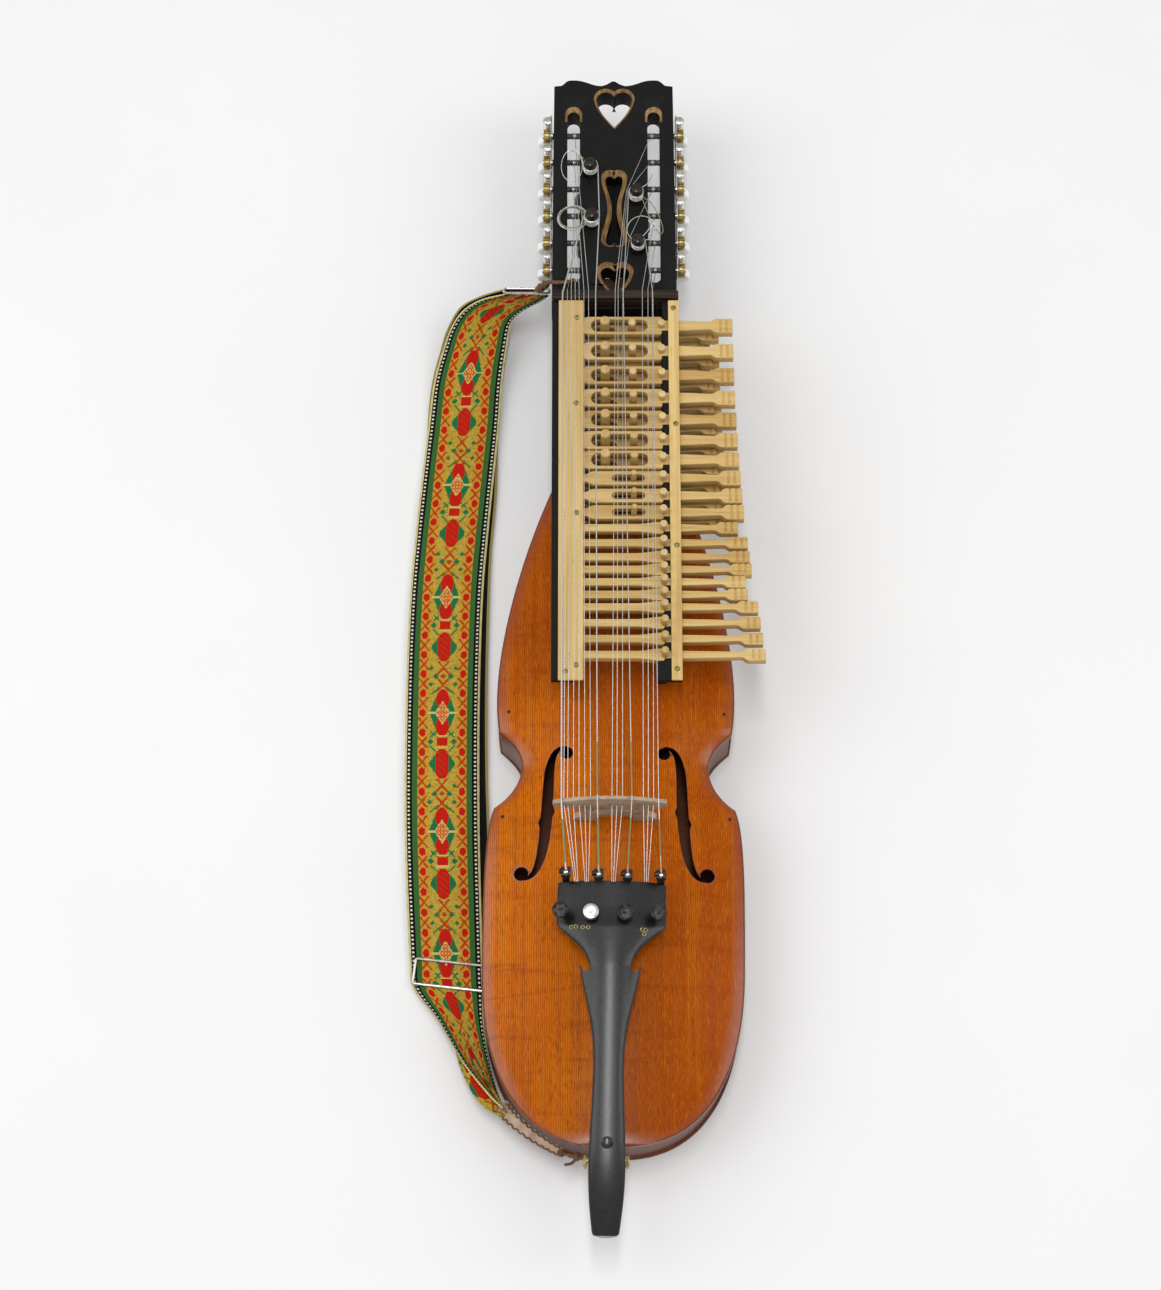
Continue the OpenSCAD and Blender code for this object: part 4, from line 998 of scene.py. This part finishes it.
for name, (kx, ky, fork) in TUNERS.items():
    kx, ky, fork = kx + TAIL_PLACE[0], ky + TAIL_PLACE[1], fork + TAIL_PLACE[0]
    tuner = bmesh.new()
    knurl = [(5.5 + 0.28 * (i % 2)) for i in range(48)]
    sawn(tuner, [[(kx + r * cos(i * pi / 24), ky + r * sin(i * pi / 24)) for i, r in enumerate(knurl)]],
         89.6, 94.2, 0.4, finish=1 if name == "g" else 0)
    turned(tuner, [(4.7, 94), (4.5, 94.7), (3.4, 95), (1.2, 94.6)], (kx, ky, 0), sides=28,
           finish=1 if name == "g" else 0)
    turned(tuner, [(3.6, 86), (3.6, 88.4), (2.4, 88.8), (2.4, 90)], (kx, ky, 0), sides=20)
    arm = [(kx - 2.4, ky - 1), (kx + 2.4, ky - 1), (fork + 2.2, ky + 12), (fork + 2.4, ky + 30), (fork - 2.4, ky + 30),
           (fork - 2.2, ky + 12)]
    sawn(tuner, [arm], 71.2, 73.6, 0.5)
    post_line = [(fork - 2.6, ky + 25.2), (fork + 2.6, ky + 25.2), (fork + 2.6, ky + 30), (fork - 2.6, ky + 30)]
    sawn(tuner, [post_line], 71.4, 90.2, 0.4)
    prongs = [(fork - 3.4, ky + 25), (fork + 3.4, ky + 25), (fork + 3.6, ky + 31.6), (fork + 1.1, ky + 32)]
    prongs += arc(fork, ky + 29, 1.1, 0, -180, 8) + [(fork - 1.1, ky + 32), (fork - 3.6, ky + 31.6)]
    sawn(tuner, [prongs], 87.0, 92.6, 0.6)
    turned(tuner, [(0.6, -2.3), (1.9, -2.0), (1.9, 2.0), (0.6, 2.3)], (fork - 2.6, ky + 28.4, 91.8), (1, 0, 0.1), 18)
    turned(tuner, [(0.5, -1.7), (1.5, -1.2), (1.5, 1.2), (0.5, 1.7)], (fork, ky + 27.4, 92.8), (1, 0.2, 0), 16,
           finish=2)
    finished(f"{name}_fine_tuner", tuner, [blackened, nickel, gold_ball], stands_for=("fine_tuners",))

# ---------------------------------------------------------------- End pin and tail wire
# A turned pin in the tail block, and a brass wire from it round both sides of the stem with
# an eye at each end.
hanger = bmesh.new()
turned(hanger, [(3.5, -12), (3.5, -9), (5.4, -8.6), (6, -6), (5.4, -1.4), (3.6, 0)],
       (-6.5, TAIL_END - 0.6, 30), axis=(0, 1, 0), sides=24, finish=1)
for side in (-1, 1):
    cx = -6.8 + side * 14.8
    swept(hanger, [(cx + 0.5 * sin(a * pi / 10), -250 + 4.4 * cos(a * pi / 10), 58 + 4.4 * sin(a * pi / 10))
                   for a in range(20)], 1.0, 10, closed=True)
    swept(hanger, smooth_path([(cx, -250, 53.5), (cx - side * 2, -248, 44), (cx - side * 8, -247.5, 31)]), 0.9, 10)
swept(hanger, smooth_path([(-21, -250, 62.4), (-14, -249.4, 62.9), (0, -249.4, 62.9), (7.4, -250, 62.4)]), 1.0, 10)
finished("tail_hanger", hanger, [brass, ebony], stands_for=("tail_loop",))

# ---------------------------------------------------------------- Strings
# Four playing strings, the lower three wound, with green silk at the tail ends, and twelve
# thin steel sympathetic strings that pass through the bridge to the machine heads.
silver_wound = Finish("silver_winding")
x, y, z = silver_wound.axes()
# Painted shade: the grooves between the turns of the winding are coloured darker than the turns.
ridge = (y * (2 * pi / 0.0011)).sine() * 0.5 + 0.5
silver_wound.surface(Base_Color=silver_wound.mix(ridge, (0.30, 0.29, 0.26), (0.78, 0.77, 0.73)), Metallic=0.85,
                     Roughness=ridge * 0.1 + 0.28, Normal=silver_wound.bump(ridge, 0.00006))
silk = Finish("green_silk")
x, y, z = silk.axes()
# Painted shade: the grooves of the silk's twist are coloured a darker green than its crests.
twist = ((y * (2 * pi / 0.0016)) + x * 2400).sine() * 0.5 + 0.5
silk.surface(Base_Color=silk.mix(twist, (0.11, 0.15, 0.055), (0.33, 0.37, 0.20)), Roughness=twist * 0.2 + 0.55,
             Normal=silk.bump(twist, 0.00008))
NUT_END = HEAD_START + 7.3
for name, (kx, ky, fork) in TUNERS.items():
    at_bridge, at_nut, height, r = STRINGS[name]
    px, py = PEG_PLACES[f"{name}_peg"]
    gap = PEG_RADIUS + r + 0.4
    start = (fork + TAIL_PLACE[0], ky + TAIL_PLACE[1] + 28.4, 92.6)
    way = [start, (at_bridge, -1.6, height + r + 0.9), (at_bridge, 1.6, height + r + 0.9),
           (at_nut, HEAD_START + 4, NUT_TOP + r)]
    if name == "g":
        way.append((PEG_PLACES["drone_peg"][0] + gap, PEG_PLACES["drone_peg"][1], HEAD_FACE + 15))
    way.append((px + (-gap if name in ("drone", "c") else gap), py, HEAD_FACE + 13.4))
    strand = bmesh.new()
    swept(strand, way, r, 10)
    finished(f"{name}_string", strand, [steel if name == "a" else silver_wound], stands_for=("strings",))
    wrap = bmesh.new()
    first, second = Vector(way[0]), Vector(way[1])
    swept(wrap, [first.lerp(second, t / 8) for t in range(2 if name == "a" else 1, 7)], r + 0.12, 10)
    after = Vector(way[2]), Vector(way[3])
    if name in ("g", "c"):
        swept(wrap, [after[0].lerp(after[1], t / 40) for t in range(0, 5)], r + 0.12, 10)
    finished(f"{name}_string_silk", wrap, [silk])

SYMPATHETIC_NUT = (-35, -32, -29, -26, -22.4, -18.9, 1.4, 3.6, 7.1, 22, 26.3, 29.6)
SYMPATHETIC_TAIL = (-28, -28, -28, -20.5, -20.5, -20.5, -1.5, -1.5, -1.5, 22, 22, 22)
slot_edge = SLOT_OFFSET - SLOT_WIDTH / 2 + 1.5
thin = bmesh.new()
for i, (at_bridge, at_nut, group) in enumerate(zip(SYMPATHETIC_BRIDGE, SYMPATHETIC_NUT, SYMPATHETIC_TAIL)):
    n, side = (i, -1) if i < 6 else (11 - i, 1)
    post = (side * SLOT_OFFSET + 0.9 + side * (2.5 - n) * 0.4, TUNER_FIRST + n * TUNER_PITCH - 1.6, POST_HEIGHT + 2.3)
    way = [(group + (i % 3 - 1) * 1.2, -55, 88.6), (at_bridge, 0, 102), (at_nut, HEAD_START + 0.3, NUT_TOP),
           (at_nut, NUT_END, NUT_TOP)]
    if 6 <= i <= 8:
        past = (12.6, 456, 93) if i == 8 else (i + 4.6, 497, 93)
        share = (slot_edge - past[0]) / (post[0] - past[0])
        way += [past, (slot_edge, past[1] + (post[1] - past[1]) * share, HEAD_FACE + 0.5)]
    swept(thin, way + [post], 0.26, 6)
    swept(thin, [(post[0] + 0.55 * a / 12 * 0.9 - 1.5, post[1] + 1.6 + 2.25 * cos(a * pi / 6),
                  POST_HEIGHT + 2.25 * sin(a * pi / 6)) for a in range(60)], 0.24, 6)
finished("sympathetic_strings", thin, [steel], stands_for=("strings",))

# The spare ends of the strings, wound into loose rings beside the pegs.
spare = bmesh.new()
for cx, cy, wide, long, turns, lift, finish in (
        (-31, 472, 12, 10.5, 2.6, 95.2, 0), (-31, 472, 10.4, 9.4, 1.4, 95.9, 1), (-31.6, 518, 8.5, 14, 1.3, 94, 0),
        (21.6, 463, 11, 11, 1.1, 94.6, 0)):
    ring = [(cx + (wide - 0.25 * a / 20) * cos(a * pi / 20), cy + (long - 0.2 * a / 20) * sin(a * pi / 20),
             lift + 1.1 * sin(a * pi / 13)) for a in range(int(40 * turns))]
    swept(spare, ring, 0.42 if finish else 0.32, 8, finish)
for trail, finish in (
        ([(-26, 482, 95), (-22, 479, 96), (-21, 475, 97)], 0),
        ([(-24, 524, 94), (-25.5, 527, 95.4), (-22.6, 523, 96)], 1),
        ([(-26, 523, 94), (-27, 530, 93), (-30, 534, 92)], 0),
        ([(23, 490, 96), (30, 485, 94), (36, 474, 92), (38.5, 464, 91), (36, 461, 91), (31, 468, 92),
          (25, 482, 95), (22.5, 489, 96)], 1),
        ([(22, 498, 96), (27, 503, 94), (31, 512, 92)], 0), ([(22, 455, 96), (27, 462, 95), (31, 468, 95)], 0)):
    swept(spare, smooth_path(trail), 0.36, 8, finish)
finished("spare_string_ends", spare, [steel, silk])

# ---------------------------------------------------------------- Shoulder strap
# Cotton webbing 56 mm wide, woven with twisted yellow selvedges, black and green stripes and
# a mustard ground with red, green and orange figures. It goes round a wire ring at the neck
# end and back through a slider, so that a second layer lies under the first, back upwards.
WEB_HALF, REPEAT, BEAD = 28, 93.5, 15.58

webbing = Finish("woven_webbing")
u, v, _ = webbing.axes(webbing.node("ShaderNodeUVMap", {"uv_map": "threads"}))
warp, weft = ((u / 0.0008).floor() + 0.5) * 0.8, ((v / 0.0009).floor() + 0.5) * 0.9
side = abs(warp)


def along_from(centre, pitch):
    """Distance along the band from the nearest figure of a repeat."""
    return abs((weft - (centre - pitch / 2)) % pitch - pitch / 2)


def both(*masks):
    total = masks[0]
    for mask in masks[1:]:
        total = total * mask
    return total


rose, barrel, block, cross = (along_from(centre, REPEAT) for centre in (0, 40.5, 22.9, 64.2))
bead, lattice = along_from(0, BEAD), along_from(BEAD / 2, BEAD)
column = abs(side - 15)
MUSTARD, RED, ORANGE, LEAF = (0.55, 0.38, 0.045), (0.60, 0.016, 0.008), (0.52, 0.060, 0.008), (0.018, 0.19, 0.065)
PALE, STRIPE, INK, CREAM = (0.72, 0.56, 0.17), (0.050, 0.155, 0.040), (0.010, 0.008, 0.007), (0.85, 0.82, 0.72)
fleck = webbing.noise(webbing.stretched((900, 900, 90)), 1.0, 2.0)
cloth = webbing.ramp(fleck, (0.30, (0.36, 0.24, 0.022)), (0.50, MUSTARD), (0.72, (0.68, 0.50, 0.10)))
cloth = webbing.mix((column < 4.3) * 0.45, cloth, (0.66, 0.31, 0.035))
for mask, colour in (
        (both(side / 10 + rose / 27 < 1, (side / 10) ** 2 + (rose / 15) ** 2 < 1, rose < 13), LEAF),
        (both(side < 4.7, rose < 18.6, (side / 4.9) ** 2 + (abs(rose - 11) / 7.8) ** 2 < 1), RED),
        (side / 5.8 + rose / 9.4 < 1, PALE),
        (both(side / 4.9 + rose / 7.8 < 1, ((warp + weft) / 2.5) % 1 < 0.66), RED),
        (both(side / 4.9 + rose / 7.8 < 1, ((warp - weft) / 2.5) % 1 < 0.36), (0.80, 0.34, 0.08)),
        (both(rose < 0.7, side < 11, side > 4.8), PALE),
        (both(side + rose > 22.6, side + rose < 24.4, side < 8.6, rose < 21), LEAF),
        (both((side / 9.6) ** 2 + (barrel / 10.6) ** 2 < 1, side / 11 + barrel / 13 < 1), LEAF),
        (both(side < 4.7, barrel < 11.8, (side / 6) ** 2 + (barrel / 12) ** 2 < 1), RED),
        (both(barrel < 9, side < 3, (warp * 0.9 + weft) % 4.8 < 0.9), ORANGE),
        (both(side < 4.4, block < 3.4), RED),
        (both(side < 5, abs(block - 4.2) < 0.5), PALE),
        (abs(side - 9) + block < 2.6, LEAF),
        (both(abs(side + block - 12.5) < 0.8, side > 4, side < 9.5, block > 3), LEAF),
        (both(abs(side - abs(cross - 7) * 0.8) < 1.0, cross < 12.2), ORANGE),
        (side + cross < 2.2, ORANGE),
        (abs(side - 5.6) + cross < 2.3, LEAF),
        (abs(side - 9.4) + abs(cross - 6.4) < 2.0, LEAF),
        ((column / 2.5) ** 2 + (bead / 3.2) ** 2 < 1, RED),
        (both(abs(column - lattice * 0.8) < 0.95, lattice < 4.6), ORANGE),
        (side > 18.5, STRIPE), (side > 22.6, INK),
        (both(abs(side - 24.8) < 0.62, v.maths("FLOORED_MODULO", v, 0.0032) < 0.0014), CREAM)):
    cloth = webbing.mix(mask, cloth, colour)
weave = ((u * (2 * pi / 0.0016)).sine() * (v * (2 * pi / 0.0018)).sine()) * 0.5 + 0.5
selvedge = side > 26.2
twist = ((v + u * 1.3) * (2 * pi / 0.0021)).sine() * 0.5 + 0.5
# Painted shade in the weave: the cloth darkened in a checker of thread-sized cells.
cloth = webbing.mix(weave * 0.28, cloth, (0.10, 0.06, 0.03), "MULTIPLY")
# The twisted yellow cord of the selvedges, with painted shade darkening the grooves of the twist.
cloth = webbing.mix(selvedge, cloth, webbing.mix(twist, (0.52, 0.42, 0.12), (0.95, 0.88, 0.45)))
webbing.surface(Base_Color=cloth, Roughness=0.9, Specular_IOR_Level=0.05,
                Normal=webbing.bump(weave + both(selvedge, twist) * 2, 0.00030))

reverse = Finish("webbing_reverse")
u, v, _ = reverse.axes(reverse.node("ShaderNodeUVMap", {"uv_map": "threads"}))
side = abs(u)
floats = reverse.noise(reverse.stretched((260, 60, 60)), 1.0, 3.0)
# Painted shade: the reverse shows the same red, green and black yarns as the front, coloured far darker where this
# layer lies under and beside the upper one.
cloth = reverse.ramp(floats, (0.40, (0.020, 0.008, 0.006)), (0.52, (0.16, 0.012, 0.008)), (0.66, (0.05, 0.06, 0.02)))
cloth = reverse.mix(side > 0.0185, cloth, (0.010, 0.009, 0.008))
twist = ((v + u * 1.3) * (2 * pi / 0.0021)).sine() * 0.5 + 0.5
# The cord is a darker copy of the front's selvedge, with darker grooves in its twist: painted shade.
cloth = reverse.mix(side > 0.0260, cloth, reverse.mix(twist, (0.16, 0.12, 0.04), (0.50, 0.42, 0.17)))
reverse.surface(Base_Color=cloth, Roughness=0.9, Specular_IOR_Level=0.05, Normal=reverse.bump(twist, 0.0002))


def band(name, stations, thick, figure_at, finish, ripple=0.25, half=WEB_HALF, stands_for=("strap",)):
    """A length of webbing through stations, each a middle point and the way to its outer edge."""
    middles = smooth_path([s[:3] for s in stations], 9)
    edges = smooth_path([s[3:] for s in stations], 9)
    lengths = [0.0]
    for before, here in zip(middles, middles[1:]):
        lengths.append(lengths[-1] + (here - before).length)
    start = lengths[min(range(len(middles)), key=lambda i: abs(middles[i].y - figure_at))]
    mesh = bmesh.new()
    threads = mesh.loops.layers.uv.new("threads")
    across = [i / 10 for i in range(-10, 11)]
    rings, places = [], {}
    for i, (middle, edge) in enumerate(zip(middles, edges)):
        ahead = middles[min(i + 1, len(middles) - 1)] - middles[max(i - 1, 0)]
        normal = edge.cross(ahead).normalized()
        normal = normal if normal.z > 0 else -normal
        ring = []
        for top in (1, -1):
            for share in across if top > 0 else across[::-1]:
                swell = 0.4 if abs(share) > 0.85 else 0.0
                swell -= 0.5 * thick if abs(share) == 1 else 0
                lift = ripple * sin(lengths[i] / 17 + 2.2 * share) * abs(share) ** 3
                vertex = mesh.verts.new(middle + edge * share + normal * (top * (thick / 2 + swell) + lift))
                places[vertex] = (share * half * MM, (lengths[i] - start) * MM)
                ring.append(vertex)
        rings.append(ring)
    faces = [mesh.faces.new(rings[0][::-1]), mesh.faces.new(rings[-1])]
    for low_ring, high_ring in zip(rings, rings[1:]):
        for k in range(len(low_ring)):
            faces.append(mesh.faces.new((low_ring[k - 1], low_ring[k], high_ring[k], high_ring[k - 1])))
    for face in faces:
        for loop in face.loops:
            loop[threads].uv = places[loop.vert]
    piece = finished(name, mesh, [finish], stands_for=stands_for, crease=60)
    return piece, (2 * half * MM, lengths[-1] * MM)


UPPER = [(-66.6, 427.5, 53, -17, 1, 0), (-79.8, 425.9, 45.5, -23.5, 1, -0.5), (-94, 421, 37, -23.5, 0, 0),
         (-102.8, 413, 28, -24, -2, -1), (-107.6, 398.8, 18.5, -25.3, -2, -0.5), (-113.1, 373, 9.5, -27, -1, 0),
         (-116.5, 334.6, 4.6, -27.8, 0, 0), (-120.6, 289.6, 4.2, -28, 0, 0), (-124.6, 241.9, 4.2, -28, 0, 0),
         (-127.8, 192.4, 4.2, -28, 0, 0), (-129.3, 111.3, 4.2, -28, 0, 0), (-128.3, 9.5, 4.2, -28, 0, 0),
         (-124, -88.3, 4.0, -27, 0, 0), (-122, -112, 3.6, -26, 1, 0), (-112.5, -140, 6.4, -17.5, 4, 1),
         (-99.5, -174, 12.4, -11, 4.5, 3), (-86.5, -198, 20.4, -5.5, 4, 5), (-77, -209.6, 24.4, -4, 4, 5)]
LOWER = [(-70.1, 431.4, 54.5, -13.6, 0.7, 0), (-84, 430.4, 42, -20.7, 1.3, -1.5), (-97.4, 425.5, 31.5, -22.5, 1.4, -1),
         (-105.3, 414.5, 22.5, -24.5, -1.6, -1), (-109.7, 399, 13.5, -25.5, -0.6, -0.5), (-114.9, 373, 5.6, -27, -1, 0),
         (-117.0, 334.8, 2.0, -27.8, 0, 0), (-117.5, 280, 1.8, -27.5, 0, 0), (-119.5, 230, 1.8, -26, 0, 0),
         (-121, 176, 1.8, -26, 0, 0), (-121.5, 110, 1.8, -26, 0, 0), (-120.5, 48, 1.8, -26, 0, 0),
         (-118.5, -6, 1.8, -26, 0, 0), (-118, -76, 1.8, -26, 0, 0), (-119, -88, 2.0, -26, 0, 0)]
TURNED = [(-115.8, -152.5, 7.6, -1.5, -1, -0.6), (-109.5, -166, 10, -4.2, -1.8, -0.8),
          (-102, -180.5, 12.5, -5.6, -3, -0.6), (-93.5, -194, 16.5, -6.2, -3.6, 0.2),
          (-86, -203.5, 20.5, -4.6, -3, 1), (-79, -210.2, 24, -1.6, -1.2, 1)]
strap, strap_flat = band("woven_strap", UPPER, 1.3, 102.5, webbing)
lining, lining_flat = band("strap_second_layer", LOWER, 1.2, 102.5, reverse)
flap, flap_flat = band("strap_turned_edge", TURNED, 1.0, -150, webbing, ripple=0.0, half=8)

# ---------------------------------------------------------------- Strap fittings
# A bent steel wire slider, a wire ring at the neck end, a leather thong from it round the
# head, and at the tail a suede tab laced along its edges and tied to the end pin.
fitting = bmesh.new()
loop_line = []
for cx, cy, a0 in ((25.5, -1.6, 0), (-25.5, -1.6, 90), (-25.5, -17.4, 180), (25.5, -17.4, 270)):
    loop_line += arc(cx, cy, 1.6, a0, a0 + 90, 5)
place = [(px, py, 6.0 + 0.25 * sin(px / 9)) for px, py in turned_by(loop_line, -6.5, shift=(-119.0, -93.2))]
swept(fitting, place, 1.05, 10, closed=True)
ring_line = arc(-82, 430, 2.6, 90, 270, 8) + arc(-51.5, 430, 2.6, -90, 90, 8)
swept(fitting, [(px, py - 0.6, 56 + (py - 430) * -0.5) for px, py in ring_line], 1.0, 10, closed=True)
finished("strap_wires", fitting, [nickel], stands_for=("strap_fittings",))

hide = Finish("brown_leather")
pore = hide.noise(hide.place(), 1300, 4.0)
rub = hide.noise(hide.place(), 160, 3.0)
hide.surface(Base_Color=hide.ramp(rub * 0.6 + pore * 0.4, (0.32, (0.075, 0.036, 0.020)), (0.55, (0.17, 0.090, 0.052)),
                                  (0.75, (0.30, 0.19, 0.12))), Roughness=rub * 0.2 + 0.55,
             Normal=hide.bump(pore, 0.00012))
suede = Finish("pale_suede")
nap = suede.noise(suede.place(), 900, 5.0, 0.7)
soil = suede.noise(suede.place(), 110, 3.0)
suede.surface(Base_Color=suede.ramp(nap * 0.45 + soil * 0.55, (0.34, (0.28, 0.185, 0.125)),
                                    (0.62, (0.56, 0.42, 0.31))), Roughness=0.92, Sheen_Weight=0.3,
              Normal=suede.bump(nap, 0.00022))
thong_line = smooth_path([(-57, 430, 58), (-53.5, 428.6, 66), (-50.8, 426, 76), (-48.8, 423, 84.6),
                          (-44.5, 421.5, 86.4), (-36, 421.8, 86.2), (-30.6, 424.6, 84.2), (-29.6, 426.5, 79)], 7)
thong = bmesh.new()
swept(thong, thong_line, [1.55 + 0.18 * sin(i * 1.1) for i in range(len(thong_line))], 10)
neck_thong = finished("neck_thong", thong, [hide], stands_for=("strap_fittings",))
tuple(c * MM for c in thong_line[0])
(sum(
    (b - a).length for a, b in zip(thong_line, thong_line[1:])) * MM)
[tuple(c * MM for c in point) for point in thong_line]


def knotted(body, middle, size, turns, radius):
    """A knot: one bent hoop of the lace for each turn, round the same middle."""
    hoop = [Vector((size * cos(a * pi / 8), size * 0.8 * sin(a * pi / 8), 0.5 * sin(a * pi / 4)))
            for a in range(16)]
    for turn in turns:
        swept(body, [Vector(middle) + turn @ point for point in hoop], radius, 8, closed=True)


knots = bmesh.new()
for middle, size in (((-55.4, 429.3, 62), 2.7), ((-52.2, 427.6, 70.5), 2.4), ((-57.4, 430, 56), 2.6)):
    knotted(knots, middle, size, [Matrix.Rotation(0.5 + tilt, 3, "X") @ Matrix.Rotation(tilt, 3, "Y")
                                  for tilt in (0.0, 0.9, 2.0)], 1.15)
finished("thong_knots", knots, [hide])

tab_line = smooth_path([(-82, -203.5, 23), (-74, -213, 25), (-62, -223.5, 27), (-49, -232.5, 29), (-38, -239, 31)], 6)
tab = bmesh.new()
sections = []
for i, point in enumerate(tab_line):
    ahead = tab_line[min(i + 1, len(tab_line) - 1)] - tab_line[max(i - 1, 0)]
    out = Vector((ahead.y, -ahead.x, 0)).normalized()
    half_width = 6.4 - 3.4 * (i / (len(tab_line) - 1)) + 0.5 * (i % 2)
    lift = ahead.cross(out).normalized()
    lift = lift if lift.z > 0 else -lift
    tilt = (out * 0.86 - lift * 0.5).normalized()
    face = tilt.cross(ahead).normalized()
    face = face if face.z > 0 else -face
    sections.append([point + tilt * half_width * s + face * h
                     for s, h in ((-1, 0.6), (-0.6, 1.1), (0, 1.2), (0.6, 1.1), (1, 0.6),
                                  (1, -0.6), (0.6, -1.0), (0, -1.1), (-0.6, -1.0), (-1, -0.6))])
lofted(tab, sections)
finished("suede_tab", tab, [suede])
lacing = bmesh.new()
for edge_index in (0, 4):
    stitches = []
    for i, section in enumerate(sections[1:-1]):
        middle = section[2]
        point = section[edge_index]
        stitches.append(point + (middle - point) * (0.10 if i % 2 else 0.42)
                        + Vector((0, 0, 0.9 if i % 2 == 0 else 0.5)))
    swept(lacing, smooth_path(stitches, 4), 0.62, 7)
tie = smooth_path([(-40, -238, 31.6), (-34, -240.5, 33), (-28, -242.2, 34), (-20, -242.6, 33.4),
                   (-12.6, -242.4, 31.5)], 6)
swept(lacing, tie, [1.5 + 0.3 * sin(i) for i in range(len(tie))], 9)
swept(lacing, smooth_path([(-27, -242, 34.5), (-31, -246, 31), (-36, -246.5, 27)], 5), 1.1, 8)
for middle, size in (((-27.5, -242, 34), 2.5), ((-38.5, -238.8, 31.6), 2.3)):
    knotted(lacing, middle, size, [Matrix.Rotation(tilt, 3, "X") @ Matrix.Rotation(tilt * 1.4, 3, "Y")
                                   for tilt in (0.2, 1.1, 2.2)], 1.05)
finished("tab_lacing", lacing, [hide], stands_for=("strap_fittings",))

# ---------------------------------------------------------------- Floor
# The white sweep that the instrument lies on.
paper = Finish("white_paper")
tooth = paper.noise(paper.place(), 4.0, 3.0)
paper.surface(Base_Color=paper.ramp(tooth, (0.3, (0.83, 0.83, 0.835)), (0.7, (0.85, 0.85, 0.85))), Roughness=0.85)
sweep = bmesh.new()
bmesh.ops.create_grid(sweep, x_segments=8, y_segments=8, size=4)
sheet = bpy.data.meshes.new("floor")
sweep.to_mesh(sheet)
sweep.free()
sheet.materials.append(paper.material)
floor = bpy.data.objects.new("floor", sheet)
floor.location = (0, 0, cad_box[0][2] - 0.0004)
scene.collection.objects.link(floor)
